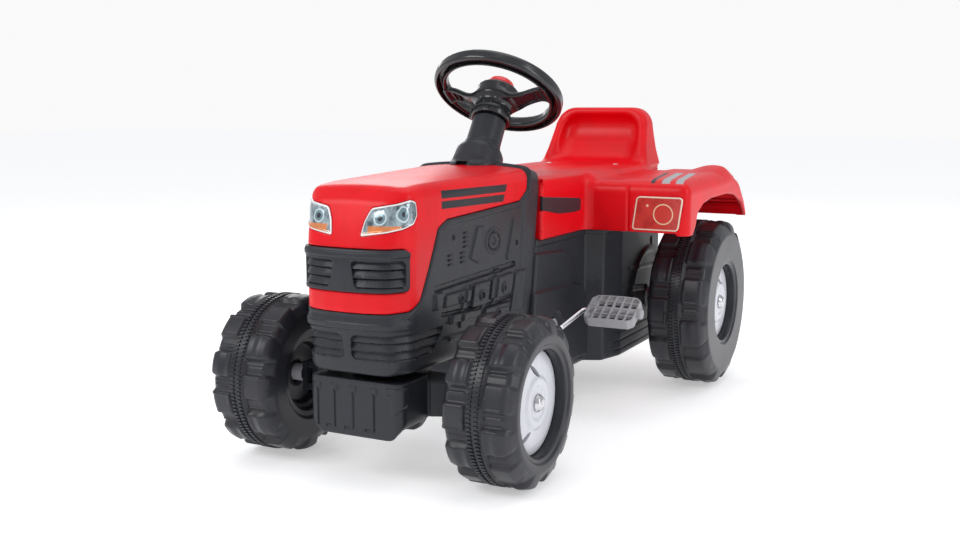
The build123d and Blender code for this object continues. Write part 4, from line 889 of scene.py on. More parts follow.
def tread_teeth(name, centre, side, radius, count, material):
    """Two rows of small teeth round the tyre's middle, beside a thin centre rib."""
    tree = Tree("tread_teeth")
    number = tree.size("Teeth per row", "NodeSocketInt", count)
    reach = tree.size("Radius", "NodeSocketFloat", radius * MM)
    tooth = tree.size("Tooth size", "NodeSocketVector", (6.2 * MM, 3.1 * MM, 2.6 * MM))
    gap = tree.size("Row offset", "NodeSocketFloat", 4.6 * MM)
    ring = tree.node("GeometryNodeCurvePrimitiveCircle", {"mode": "RADIUS"}, {"Resolution": number, "Radius": reach})
    spots = tree.node("GeometryNodeCurveToPoints", {"mode": "EVALUATED"}, {"Curve": ring.outputs[0]})
    block = rounded_block(tree, tooth)
    rows = tree.node("GeometryNodeJoinGeometry")
    for sign in (1.0, -1.0):
        turn = math.radians(180.0 / count) if sign < 0 else 0.0
        place = tree.node("ShaderNodeVectorMath", {"operation": "NORMALIZE"},
                          {0: tree.node("GeometryNodeInputPosition").outputs[0]})
        face = tree.node("FunctionNodeAlignRotationToVector", {"axis": "Z"}, {"Vector": place.outputs[0]})
        flat = tree.node("FunctionNodeAlignRotationToVector", {"axis": "X", "pivot_axis": "Z"},
                         {"Rotation": face.outputs[0], "Vector": (0.0, 0.0, 1.0)})
        set_on = tree.node("GeometryNodeInstanceOnPoints", None,
                           {"Points": spots.outputs[0], "Instance": block, "Rotation": flat.outputs[0]})
        shift = tree.node("ShaderNodeMath", {"operation": "MULTIPLY"}, {0: gap, 1: sign})
        lift = tree.node("ShaderNodeCombineXYZ", None, {2: shift.outputs[0]})
        moved = tree.node("GeometryNodeTransform", None,
                          {"Geometry": set_on.outputs[0], "Translation": lift.outputs[0],
                           "Rotation": (0.0, 0.0, turn)})
        tree.tree.links.new(moved.outputs[0], rows.inputs[0])
    laid = tree.node("GeometryNodeTransform", None,
                     {"Geometry": rows.outputs[0], "Rotation": (0.0, math.pi / 2, 0.0),
                      "Translation": (centre[0] * side * MM, centre[1] * MM, centre[2] * MM)})
    tree.end(laid.outputs[0], material)
    return tree.build(name)


def chain_links(name, path, count, material):
    """Drive chain on a closed path: two side plates and a roller at each pitch, every second pair set in."""
    tree = Tree("chain_links")
    spots_in = tree.size("Pitches", "NodeSocketInt", count)
    plate = tree.size("Plate size", "NodeSocketVector", (12.6 * MM, 1.1 * MM, 6.4 * MM))
    wide = tree.size("Plate spacing", "NodeSocketFloat", 5.6 * MM)
    radius = tree.size("Roller radius", "NodeSocketFloat", 2.9 * MM)
    loop = tree.node("GeometryNodeMeshToCurve", None, {0: tree.path()})
    spots = tree.node("GeometryNodeCurveToPoints", {"mode": "COUNT"}, {"Curve": loop.outputs[0], "Count": spots_in})
    turn = tree.node("FunctionNodeAlignRotationToVector", {"axis": "X"}, {"Vector": spots.outputs["Tangent"]})
    side = tree.node("FunctionNodeAlignRotationToVector", {"axis": "Y", "pivot_axis": "X"},
                     {"Rotation": turn.outputs[0], "Vector": (1.0, 0.0, 0.0)})
    cube = tree.node("GeometryNodeMeshCube", None, {"Size": plate})
    index = tree.node("GeometryNodeInputIndex").outputs[0]
    odd = tree.node("ShaderNodeMath", {"operation": "MODULO"}, {0: index, 1: 2.0})
    inset = tree.node("ShaderNodeMath", {"operation": "MULTIPLY"}, {0: odd.outputs[0], 1: 1.3 * MM})
    rows = tree.node("GeometryNodeJoinGeometry")
    for sign in (1.0, -1.0):
        base = tree.node("ShaderNodeMath", {"operation": "MULTIPLY"}, {0: wide, 1: 0.5 * sign})
        pull = tree.node("ShaderNodeMath", {"operation": "MULTIPLY"}, {0: inset.outputs[0], 1: -sign})
        total = tree.node("ShaderNodeMath", {"operation": "ADD"}, {0: base.outputs[0], 1: pull.outputs[0]})
        off = tree.node("ShaderNodeCombineXYZ", None, {0: total.outputs[0]})
        moved = tree.node("GeometryNodeSetPosition", None, {"Geometry": spots.outputs[0], "Offset": off.outputs[0]})
        put = tree.node("GeometryNodeInstanceOnPoints", None,
                        {"Points": moved.outputs[0], "Instance": cube.outputs[0], "Rotation": side.outputs[0]})
        tree.tree.links.new(put.outputs[0], rows.inputs[0])
    pin = tree.node("GeometryNodeMeshCylinder", None, {"Vertices": 12, "Radius": radius, "Depth": 4.2 * MM})
    lay = tree.node("GeometryNodeTransform", None, {"Geometry": pin.outputs[0], "Rotation": (0.0, math.pi / 2, 0.0)})
    pins = tree.node("GeometryNodeInstanceOnPoints", None, {"Points": spots.outputs[0], "Instance": lay.outputs[0]})
    tree.tree.links.new(pins.outputs[0], rows.inputs[0])
    tree.end(rows.outputs[0], material)
    return tree.build(name, None, path, closed=True)


def slat_rows(name, places, size, lean, material):
    """Short raised slats, one at each place, all leaning the same way."""
    tree = Tree("slat_rows")
    length = tree.size("Slat size", "NodeSocketVector", tuple(v * MM for v in size))
    block = rounded_block(tree, length, 0.4)
    put = tree.node("GeometryNodeInstanceOnPoints", None,
                    {"Points": tree.path(), "Instance": block, "Rotation": lean})
    tree.end(put.outputs[0], material)
    return tree.build(name, None, places)


# ---------------------------------------------------------------- finishes
class Signal:
    """A shader value that can be written in sums."""

    def __init__(self, finish, socket):
        self.finish, self.socket = finish, socket

    def _sum(self, operation, first, second=None, clamp=False):
        values = {0: first} if second is None else {0: first, 1: second}
        made = self.finish.node("ShaderNodeMath", {"operation": operation, "use_clamp": clamp}, values)
        return Signal(self.finish, made.outputs[0])

    def __add__(self, other):
        return self._sum("ADD", self, other)

    def __radd__(self, other):
        return self._sum("ADD", other, self)

    def __sub__(self, other):
        return self._sum("SUBTRACT", self, other)

    def __rsub__(self, other):
        return self._sum("SUBTRACT", other, self)

    def __mul__(self, other):
        return self._sum("MULTIPLY", self, other)

    def __rmul__(self, other):
        return self._sum("MULTIPLY", other, self)

    def __truediv__(self, other):
        return self._sum("DIVIDE", self, other)

    def __pow__(self, other):
        return self._sum("POWER", self, other)

    def __abs__(self):
        return self._sum("ABSOLUTE", self)

    def over(self, low, high):
        """0 below low, 1 above high."""
        return self._sum("MULTIPLY", self - low, 1.0 / (high - low), clamp=True)

    def under(self, low, high):
        """1 below low, 0 above high."""
        return 1 - self.over(low, high)

    def least(self, other):
        return self._sum("MINIMUM", self, other)


class Finish:
    """A material under construction; lengths inside it are millimetres."""

    def __init__(self, name, **constants):
        self.material = bpy.data.materials.new(name)
        self.material.use_nodes = True
        self.nodes, self.links = self.material.node_tree.nodes, self.material.node_tree.links
        self.shader = self.nodes["Principled BSDF"]
        for key, value in constants.items():
            self.shader.inputs[key.replace("_", " ")].default_value = value
        self.place = self.node("ShaderNodeTexCoord").outputs["Object"]
        apart = self.node("ShaderNodeSeparateXYZ", None, {0: self.place})
        self.x, self.y, self.z = (Signal(self, apart.outputs[k]) * 1000.0 for k in range(3))

    def node(self, kind, settings=None, values=None):
        """Any node: its settings first, then the values or links of its sockets by name or index."""
        made = self.nodes.new(kind)
        for key, value in (settings or {}).items():
            setattr(made, key, value)
        for key, value in (values or {}).items():
            value = value.socket if isinstance(value, Signal) else value
            if isinstance(value, bpy.types.NodeSocket):
                self.links.new(value, made.inputs[key])
            else:
                made.inputs[key].default_value = value
        return made

    def noise(self, grain, detail=3.0, stretch=(1, 1, 1), roughness=0.55):
        """Soft noise from 0 to 1 with the given grain in millimetres."""
        move = self.node("ShaderNodeMapping", None, {"Vector": self.place, "Scale": stretch})
        made = self.node("ShaderNodeTexNoise", None, {"Vector": move.outputs[0], "Scale": 1000.0 / grain,
                                                      "Detail": detail, "Roughness": roughness})
        return Signal(self, made.outputs["Fac"])

    def attribute(self, name):
        made = self.node("ShaderNodeAttribute", {"attribute_type": "GEOMETRY", "attribute_name": name})
        return Signal(self, made.outputs["Fac"])

    def mix(self, mask, first, second):
        """Colour between two colours or sockets."""
        made = self.node("ShaderNodeMix", {"data_type": "RGBA"}, {0: mask, 6: first, 7: second})
        return made.outputs[2]

    def feed(self, socket, value):
        value = value.socket if isinstance(value, Signal) else value
        self.links.new(value, self.shader.inputs[socket])

    def bump(self, height, depth, strength=1.0):
        """Relief on the normal; depth is millimetres for a height of 1."""
        made = self.node("ShaderNodeBump", None, {"Height": height, "Distance": depth * MM, "Strength": strength})
        self.links.new(made.outputs[0], self.shader.inputs["Normal"])

    def distance_to(self, a, b, u, v):
        """Distance in the (u, v) plane from the point (a, b)."""
        return ((u - a) ** 2.0 + (v - b) ** 2.0) ** 0.5


def shade(colour, factor):
    return tuple(min(1.0, max(0.0, c * factor)) for c in colour[:3]) + (1.0,)


def moulded_plastic(name, colour, rough, spread, grain, depth, coat, paint=None, scuff=0.0, **constants):
    """Moulded plastic: mottled colour, uneven sheen, faint flow marks, fine skin grain and light scuffing."""
    f = Finish(name, Coat_Weight=coat, Coat_Roughness=0.12, **constants)
    cloud, fine = f.noise(60.0, 2.0), f.noise(grain, 3.0)
    flow = f.noise(9.0, 3.0, (1, 1, 0.25))
    tone = (cloud * 0.6 + flow * 0.25 + fine * 0.15).over(0.3, 0.7)
    colours = f.mix(tone, shade(colour, 0.86), shade(colour, 1.12))
    if paint:
        colours = paint(f, colours)
    marks = f.noise(3.2, 4.0, (1, 0.18, 1)).over(0.60, 0.72) * f.noise(38.0, 2.0).over(0.48, 0.62)
    if scuff:
        colours = f.mix(marks * scuff, colours, shade(tuple(0.5 * c + 0.12 for c in colour[:3]), 1.0))
    f.feed("Base Color", colours)
    f.feed("Roughness", rough + (cloud - 0.5) * spread + (fine - 0.5) * (spread * 0.5) + marks * 0.14)
    f.bump(fine * 0.7 + flow * 0.3 - marks * 0.35, depth, 0.85)
    return f.material


def hood_paint(colours_of):
    dark = shade(colours_of.stripe, 1.0)

    def paint(f, base):
        lift = f.z + (f.y + 335.0) * 0.0125
        upper = lift.over(337.4, 338.0) * lift.under(347.0, 347.6)
        lower = lift.over(325.0, 325.6) * lift.under(334.2, 334.8)
        along = f.y.over(-318.5, -317.6) * (f.y + (lift - 336.0) * -0.5).under(-164.6, -163.8)
        side = abs(f.x).over(62.0, 63.0)
        return f.mix((upper + lower).least(1.0) * along * side, base, dark)
    return paint


def seat_paint(colours_of):
    pale, line = shade(colours_of.grey, 1.1), shade(colours_of.black, 0.8)

    def paint(f, base):
        ax = abs(f.x)
        on_top = f.z.over(331.0, 333.0) * f.y.over(95.0, 97.0) * f.y.under(232.0, 234.0)
        slant = (f.y - 92.0) * 0.16
        first = (ax + slant).over(208.5, 209.3) * (ax + slant).under(220.7, 221.5)
        second = (ax + slant).over(229.5, 230.3) * (ax + slant).under(240.7, 241.5)
        edge = (ax + slant).over(192.0, 192.8) * (ax + slant).under(198.2, 199.0)
        out = f.mix((first + second) * on_top, base, pale)
        return f.mix(edge * on_top, out, line)
    return paint


def steel(name, colour, rough, brush, metallic=1.0):
    """Plated steel with fine drawing marks, cloudy tarnish and uneven polish."""
    f = Finish(name, Metallic=metallic)
    lines = f.noise(1.4, 3.0, brush)
    cloud = f.noise(14.0, 3.0)
    tone = (lines * 0.5 + cloud * 0.5).over(0.3, 0.7)
    f.feed("Base Color", f.mix(tone, shade(colour, 0.78), shade(colour, 1.15)))
    f.feed("Roughness", rough + (cloud - 0.5) * 0.2 + (lines - 0.5) * 0.12)
    f.bump(lines, 0.03, 0.6)
    return f.material


def headlight_finish():
    """Clear-fronted lamp: pale bezel, mirrored bowls, ribbed glass and an amber lower strip."""
    f = Finish("headlight", Coat_Weight=1.0, Coat_Roughness=0.03, IOR=1.5)
    edge, s = f.attribute("edge_mm"), f.attribute("wrap_mm")
    deep, silver = (0.045, 0.075, 0.095, 1.0), (0.42, 0.52, 0.56, 1.0)
    haze = f.noise(11.0, 3.0)
    streak = f.noise(5.0, 2.0, (1, 1, 0.15))
    colours = f.mix((haze * 0.6 + streak * 0.4).over(0.38, 0.62), deep, silver)
    for cs, cz, r in LAMP_BOWLS:
        away = f.distance_to(cs, cz, s, f.z)
        colours = f.mix(away.under(r - 0.6, r), colours, (0.16, 0.25, 0.29, 1.0))
        colours = f.mix(away.over(r - 2.2, r - 1.4) * away.under(r - 0.4, r + 0.4), colours, (0.62, 0.74, 0.78, 1.0))
        colours = f.mix(away.under(2.6, 3.6), colours, (0.012, 0.02, 0.03, 1.0))
    amber = f.z.under(310.5, 312.0) * s.over(27.0, 29.0) * s.under(62.0, 66.0)
    colours = f.mix(amber * (0.55 + haze * 0.6).least(1.0), colours, (0.86, 0.24, 0.03, 1.0))
    colours = f.mix(f.z.under(303.0, 304.0) * s.under(44.0, 48.0), colours, (0.72, 0.58, 0.42, 1.0))
    colours = f.mix(edge.over(-1.9, -1.4), colours, (0.80, 0.80, 0.80, 1.0))
    f.feed("Base Color", colours)
    f.feed("Roughness", 0.12 + edge.over(-1.9, -1.4) * 0.18 + haze * 0.08)
    f.feed("Metallic", edge.under(-1.9, -1.4) * 0.35)
    f.bump(edge.over(-3.2, -2.0) + haze * 0.1, 0.5, 0.8)
    return f.material


def fender_label_finish():
    """Printed lamp label: dark red field, pale outline, a ring and a small dot."""
    f = Finish("fender_lamp", Coat_Weight=0.5, Coat_Roughness=0.1)
    ax = abs(f.x)
    edge = f.attribute("edge_mm")
    haze = f.noise(16.0, 4.0)
    colours = f.mix(haze.over(0.35, 0.65), (0.46, 0.02, 0.015, 1.0), (0.62, 0.035, 0.025, 1.0))
    ring = f.distance_to(214.0, 290.0, ax, f.z)
    colours = f.mix(ring.under(13.6, 14.2), colours, (0.60, 0.03, 0.02, 1.0))
    pale = (0.80, 0.58, 0.36, 1.0)
    colours = f.mix(ring.over(13.2, 13.7) * ring.under(14.9, 15.4), colours, pale)
    colours = f.mix(f.distance_to(190.0, 302.0, ax, f.z).under(1.6, 2.2), colours, pale)
    colours = f.mix(edge.over(-2.4, -2.0), colours, (0.82, 0.66, 0.52, 1.0))
    f.feed("Base Color", colours)
    f.feed("Roughness", 0.28 + (haze - 0.5) * 0.12)
    f.bump(edge.over(-2.6, -1.8) + ring.over(13.0, 13.8) * ring.under(14.8, 15.6) * 0.6 + haze * 0.1, 0.25, 0.8)
    return f.material


def tyre_finish(colours_of, name, centre, radius):
    """Blow-moulded tyre: satin skin, dust in the tread and polished lug tops."""
    f = Finish(name, Coat_Weight=0.10, Coat_Roughness=0.2, Specular_IOR_Level=0.34)
    reach = f.distance_to(centre[1], centre[2], f.y, f.z)
    cloud, fine = f.noise(45.0, 3.0), f.noise(0.9, 3.0)
    wear = reach.over(radius - 3.2, radius - 0.6) * f.noise(7.0, 4.0).over(0.40, 0.62)
    dust = reach.under(radius - 4.6, radius - 3.0) * reach.over(radius - 12.0, radius - 7.0) * cloud
    colour = colours_of.tyre
    tone = (cloud * 0.7 + fine * 0.3).over(0.32, 0.68)
    colours = f.mix(tone, shade(colour, 0.85), shade(colour, 1.15))
    colours = f.mix(dust * 0.10, colours, (0.16, 0.15, 0.14, 1.0))
    colours = f.mix(wear * 0.22, colours, shade(colour, 2.2))
    f.feed("Base Color", colours)
    f.feed("Roughness", 0.33 + (cloud - 0.5) * 0.12 + wear * 0.10 + dust * 0.16 + (fine - 0.5) * 0.05)
    f.bump(fine * 0.6 + cloud * 0.2, 0.05, 0.7)
    return f.material


# ---------------------------------------------------------------- settings
def colour_setting(name, description, default):
    return bpy.props.FloatVectorProperty(name=name, description=description, default=default, size=3, min=0.0,
                                         max=1.0, subtype="COLOR")


class TractorColours(bpy.types.PropertyGroup):
    """Base colours of the tractor's plastics and metals."""

    red: colour_setting("Body red", "Hood, saddle, seat back, fenders and horn button", (0.74, 0.001, 0.007))
    black: colour_setting("Body black", "Engine body, rear frame, axle housing and column", (0.023, 0.025, 0.031))
    gloss: colour_setting("Wheel black", "Steering wheel", (0.012, 0.013, 0.016))
    tyre: colour_setting("Tyre black", "Tyres", (0.021, 0.022, 0.028))
    stripe: colour_setting("Stripe", "Stripes on the hood's sides", (0.018, 0.021, 0.026))
    white: colour_setting("Wheel white", "Wheel discs", (0.66, 0.67, 0.72))
    grey: colour_setting("Pedal grey", "Pedals and the fender stripes", (0.36, 0.36, 0.38))
    steel: colour_setting("Steel", "Plated rods and caps", (0.66, 0.66, 0.68))


class TractorSizes(bpy.types.PropertyGroup):
    """Mesh and stage sizes."""

    body_step: bpy.props.FloatProperty(name="Body mesh step", description="Grid step of the large mouldings",
                                       default=0.00165, min=0.001, max=0.006, unit="LENGTH")
    small_step: bpy.props.FloatProperty(name="Small mesh step", description="Grid step of the small mouldings",
                                        default=0.0011, min=0.0005, max=0.003, unit="LENGTH")
    front_teeth: bpy.props.IntProperty(name="Front tread teeth", description="Teeth in each row of a front tyre",
                                       default=122, min=24, max=240)
    rear_teeth: bpy.props.IntProperty(name="Rear tread teeth", description="Teeth in each row of a rear tyre",
                                      default=158, min=24, max=300)
    links: bpy.props.IntProperty(name="Chain pitches", description="Pitches of the drive chain",
                                 default=74, min=20, max=120)
    floor_half: bpy.props.FloatProperty(name="Floor half width", description="Half the width of the floor",
                                        default=14.0, min=2.0, max=40.0, unit="LENGTH")


def colours():
    return bpy.context.scene.tractor_colours


def sizes():
    return bpy.context.scene.tractor_sizes


FINISHES = {}


def finish(name):
    """The named finish, made on first use."""
    if name not in FINISHES:
        c = colours()
        makers = {
            "red_hood": lambda: moulded_plastic("red_hood", c.red, 0.34, 0.10, 1.1, 0.022, 0.04, hood_paint(c),
                                                Specular_IOR_Level=0.26),
            "red_seat": lambda: moulded_plastic("red_seat", c.red, 0.36, 0.10, 1.1, 0.022, 0.04, seat_paint(c),
                                                Specular_IOR_Level=0.26),
            "red_plain": lambda: moulded_plastic("red_plain", c.red, 0.26, 0.08, 1.1, 0.02, 0.2),
            "black_plastic": lambda: moulded_plastic("black_plastic", c.black, 0.40, 0.14, 0.9, 0.05, 0.06, scuff=0.3,
                                                     Specular_IOR_Level=0.30),
            "gloss_black": lambda: moulded_plastic("gloss_black", c.gloss, 0.24, 0.12, 0.9, 0.035, 0.25, scuff=0.2),
            "white_plastic": lambda: moulded_plastic("white_plastic", c.white, 0.34, 0.10, 1.2, 0.03, 0.15,
                                                     scuff=0.1),
            "grey_plastic": lambda: moulded_plastic("grey_plastic", c.grey, 0.42, 0.14, 0.9, 0.05, 0.08, scuff=0.35),
            "bush_plastic": lambda: moulded_plastic("bush_plastic", c.grey, 0.5, 0.1, 1.2, 0.03, 0.0),
            "squeaker_rubber": lambda: moulded_plastic("squeaker_rubber", c.white, 0.6, 0.1, 1.0, 0.05, 0.0),
            "zinc_steel": lambda: steel("zinc_steel", c.steel, 0.24, (0.05, 1, 1)),
            "screw_steel": lambda: steel("screw_steel", c.steel, 0.34, (1, 1, 1)),
            "cap_steel": lambda: steel("cap_steel", c.steel, 0.20, (0.3, 1, 1)),
            "chain_steel": lambda: steel("chain_steel", shade(c.steel, 0.45), 0.38, (1, 1, 0.2)),
            "headlight": lambda: headlight_finish(),
            "fender_lamp": lambda: fender_label_finish(),
        }
        FINISHES[name] = makers[name]()
    return FINISHES[name]


def dress(obj, body, slot, material, *nodes):
    """Gives a finished piece its material, the body it rides on and the nodes it stands for; slot is not used."""
    if material is not None:
        obj.data.materials.clear()
        obj.data.materials.append(material)
    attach(obj, body)
    if nodes:
        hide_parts(*nodes)
    return obj


def repaint(material, *nodes):
    """A better finish on CAD nodes whose shape stays."""
    for name in nodes:
        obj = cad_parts[name]
        obj.data.materials.clear()
        obj.data.materials.append(material)


def body_step():
    return sizes().body_step / MM


def small_step():
    return sizes().small_step / MM


def store(obj, name, values):
    """Keeps a number at each vertex for the finish to read."""
    layer = obj.data.attributes.new(name, "FLOAT", "POINT")
    layer.data.foreach_set("value", np.asarray(values, dtype=np.float32))


SIDES = (("left", 1), ("right", -1))


# ---------------------------------------------------------------- operators
class TRACTOR_OT_hood(bpy.types.Operator):
    """Red hood with its recesses"""
    bl_idname = "tractor.hood"
    bl_label = "Hood"

    def execute(self, context):
        obj = moulded("hood_moulding", hood_shape, (-94, -430, 203), (94, -90, 372), body_step(), 0.42)
        dress(obj, "chassis", "red_plastic", finish("red_hood"), "hood")
        return {"FINISHED"}


class TRACTOR_OT_headlights(bpy.types.Operator):
    """Headlights in the hood's nose"""
    bl_idname = "tractor.headlights"
    bl_label = "Headlights"

    def execute(self, context):
        for name, side in SIDES:
            def shape(x, y, z, side=side):
                body = front_body(x, y, z)
                edge = lamp_outline(x * side, y, z) + 0.35
                bezel = 0.9 * ease(-3.2, -2.2, edge) + 0.5 * ease(-3.4, -14, edge)
                return smooth_max(smooth_max(body - bezel, -(body + 1.6), 0.5), edge, 1.0)
            x = (6, 84) if side > 0 else (-84, -6)
            obj = moulded(f"headlight_lens_{name}", shape, (x[0], -426, 290), (x[1], -340, 348), small_step(), 1.0)
            p = vertex_array(obj.data) / MM
            store(obj, "edge_mm", lamp_outline(p[:, 0] * side, p[:, 1], p[:, 2]) + 0.35)
            store(obj, "wrap_mm", lamp_wrap(p[:, 0] * side, p[:, 1]))
            dress(obj, "chassis", "lamp_decal", finish("headlight"), f"headlight_{name}")
        return {"FINISHED"}


class TRACTOR_OT_grille(bpy.types.Operator):
    """Black slatted insert in the nose"""
    bl_idname = "tractor.grille"
    bl_label = "Upper grille"

    def execute(self, context):
        obj = moulded("nose_grille", grille_shape, (-84, -432, 234), (84, -380, 286), body_step() * 0.62, 0.45)
        dress(obj, "chassis", "black_plastic", finish("black_plastic"), "upper_grille")
        return {"FINISHED"}


class TRACTOR_OT_engine_body(bpy.types.Operator):
    """Black engine body and dash, with its short cooling slats"""
    bl_idname = "tractor.engine_body"
    bl_label = "Engine body"

    def execute(self, context):
        obj = moulded("engine_body", housing_shape, (-100, -430, 132), (100, -56, 372), body_step(), 0.40)
        dress(obj, "chassis", "black_plastic", finish("black_plastic"), "engine_housing")
        rows = [(-265, 292 - 5.6 * k) for k in range(4)] + [(-272, 268 - 5.6 * k) for k in range(3)]
        rows += [(-301, 268 - 5.6 * k) for k in range(3)]
        places = []
        for side in (1, -1):
            for y, z in rows:
                x = 60.0
                for _ in range(40):
                    gap = float(front_body(np.array([x]), np.array([float(y)]), np.array([float(z)]))[0])
                    x -= gap
                places.append((side * (x + 0.5), y, z))
        slats = slat_rows("engine_slats", places, (2.6, 12.0, 2.2), (0.0, 0.0, 0.0), finish("black_plastic"))
        dress(slats, "chassis", "black_plastic", None)
        return {"FINISHED"}


class TRACTOR_OT_rear_frame(bpy.types.Operator):
    """Black rear frame under the saddle"""
    bl_idname = "tractor.rear_frame"
    bl_label = "Rear frame"

    def execute(self, context):
        obj = moulded("rear_frame", chassis_shape, (-130, -100, 52), (130, 352, 350), body_step() * 1.2, 0.40)
        dress(obj, "chassis", "black_plastic", finish("black_plastic"), "chassis")
        return {"FINISHED"}


class TRACTOR_OT_seat(bpy.types.Operator):
    """Red saddle, seat back and fenders, with the dark side inserts and the lamp labels"""
    bl_idname = "tractor.seat"
    bl_label = "Seat and fenders"

    def execute(self, context):
        obj = moulded("seat_moulding", seat_shape, (-258, -72, 254), (258, 431, 450), body_step() * 1.25, 0.42)
        dress(obj, "chassis", "red_plastic", finish("red_seat"), "seat_body")
        for name, side in SIDES:
            def trim(x, y, z, side=side):
                return trim_shape(x * side, y, z)
            x = (84, 96) if side > 0 else (-96, -84)
            obj = moulded(f"side_insert_{name}", trim, (x[0], -69, 284), (x[1], 82, 328), small_step(), 0.5)
            dress(obj, "chassis", "black_plastic", finish("black_plastic"), f"side_trim_{name}")

            def label_edge(x, z):
                return box2(np.abs(x) - (z - 290) * 0.14, z, (169.6, 240.4), (265.6, 315.4), 6)

            def label(x, y, z):
                return smooth_max(label_edge(x, z), span(y, 87.7, 89.4), 0.4)
            x = (162, 248) if side > 0 else (-248, -162)
            obj = moulded(f"fender_label_{name}", label, (x[0], 84, 260), (x[1], 93, 321), small_step(), 1.0)
            p = vertex_array(obj.data) / MM
            store(obj, "edge_mm", label_edge(p[:, 0], p[:, 2]))
            dress(obj, "chassis", "fender_decal", finish("fender_lamp"), f"fender_lamp_{name}")
        return {"FINISHED"}


class TRACTOR_OT_axle_housing(bpy.types.Operator):
    """Black front beam and weight box"""
    bl_idname = "tractor.axle_housing"
    bl_label = "Front axle housing"

    def execute(self, context):
        obj = moulded("axle_beam", axle_housing_shape, (-122, -403, 52), (122, -284, 142), body_step() * 0.85, 0.42)
        dress(obj, "chassis", "black_plastic", finish("black_plastic"), "front_axle_housing")
        return {"FINISHED"}


class TRACTOR_OT_steering(bpy.types.Operator):
    """Steering wheel, horn button and the column's collar"""
    bl_idname = "tractor.steering"
    bl_label = "Steering"

    def execute(self, context):
        wheel = moulded("steering_ring", wheel_shape, (-98, -98, -52), (98, 98, 14), small_step() * 1.25, 0.5,
                        steer_place)
        dress(wheel, "steering", "gloss_black", finish("gloss_black"), "steering_wheel")
        dome = rounded(
            [(-0.5, 0.01), (-0.5, 21.7), (9.0, 21.7), (15.0, 19.0), (19.0, 13.5), (21.0, 6.5), (21.4, 0.01)],
            [0, 0.5, 4, 6, 8, 8, 0], 6)
        button = face_outwards(turned("horn_dome", dome, int(72 / FINE), about_steer))
        dress(button, "horn_button", "red_plastic", finish("red_plain"), "horn_button")
        collar = moulded("column_collar", collar_shape, (-46, -150, 325), (46, -10, 446), small_step() * 1.15, 0.5)
        dress(collar, "chassis", "black_plastic", finish("black_plastic"), "steering_collar")
        return {"FINISHED"}


class TRACTOR_OT_wheels(bpy.types.Operator):
    """Tyres with their tread teeth, white discs and push caps"""
    bl_idname = "tractor.wheels"
    bl_label = "Wheels"

    def execute(self, context):
        for end, centre, radius, width, rim_r, inner_r, bore, hub, teeth in (
                ("front", FRONT_WHEEL, 103.5, 93.0, 62.4, 46, 5.06, -33.3, sizes().front_teeth),
                ("rear", REAR_WHEEL, 132.8, 96.6, 59.3, 52, 6.06, -80.9, sizes().rear_teeth)):
            material = tyre_finish(colours(), f"{end}_tyre", centre, radius)
            for name, side in SIDES:
                body = f"front_wheel_{name}" if end == "front" else ("rear_wheel_left" if side > 0 else "rear_axle")
                cap_body = f"knuckle_{name}" if end == "front" else "rear_axle"
                tyre = tyre_mesh(f"{end}_tyre_{name}_moulded", centre, side, radius, width, rim_r, inner_r)
                dress(tyre, body, "tyre_plastic", material, f"{end}_tyre_{name}")
                ring = tread_teeth(f"{end}_tread_teeth_{name}", centre, side, radius - 2.9, teeth, material)
                dress(ring, body, "tyre_plastic", None)
                disc = rim_mesh(f"{end}_disc_{name}", centre, side, width, rim_r, bore, hub)
                dress(disc, body, "white_plastic", finish("white_plastic"), f"{end}_rim_{name}")
                cap = cap_mesh(f"{end}_push_cap_{name}", centre, side, width)
                dress(cap, cap_body, "cap_steel", finish("cap_steel"), f"{end}_cap_{name}")
        return {"FINISHED"}


class TRACTOR_OT_pedals(bpy.types.Operator):
    """Grey grid pedals"""
    bl_idname = "tractor.pedals"
    bl_label = "Pedals"

    def execute(self, context):
        c, s = math.cos(PEDAL_TILT), math.sin(PEDAL_TILT)
        for name, side in SIDES:
            centre = np.array((side * 160.0, CRANK_AT[0] + side * PEDAL_OFFSET[0],
                               CRANK_AT[1] + side * PEDAL_OFFSET[1]))

            def place(p, only_turn=False, side=side, centre=centre):
                out = np.stack([p[:, 0] * side, p[:, 1] * c - p[:, 2] * s, p[:, 1] * s + p[:, 2] * c], 1)
                return out if only_turn else out + centre
            obj = moulded(f"grid_pedal_{name}", pedal_shape, (-41, -30, -11), (41, 30, 11), small_step() * 0.8, 0.5,
                          place)
            face_outwards(obj) if side < 0 else None
            dress(obj, f"pedal_{name}", "grey_plastic", finish("grey_plastic"), f"pedal_{name}")
        return {"FINISHED"}


class TRACTOR_OT_drive(bpy.types.Operator):
    """Drive chain of separate links"""
    bl_idname = "tractor.drive"
    bl_label = "Drive chain"

    def execute(self, context):
        (y0, z0), (y1, z1) = CRANK_AT, REAR_WHEEL[1:]
        big, small = 20 * 11.0 / (2 * math.pi) + 3.8, 16 * 11.0 / (2 * math.pi) + 3.8
        run = math.atan2(z1 - z0, y1 - y0)
        lean = math.acos((big - small) / math.hypot(y1 - y0, z1 - z0))
        path = []
        for t in np.linspace(run + lean, run + 2 * math.pi - lean, 40):
            path.append((-40.0, y0 + big * math.cos(t), z0 + big * math.sin(t)))
        for t in np.linspace(run - lean, run + lean, 40):
            path.append((-40.0, y1 + small * math.cos(t), z1 + small * math.sin(t)))
        chain = chain_links("chain_links", path, sizes().links, finish("chain_steel"))
        dress(chain, "chassis", "zinc_steel", None, "drive_chain")
        return {"FINISHED"}


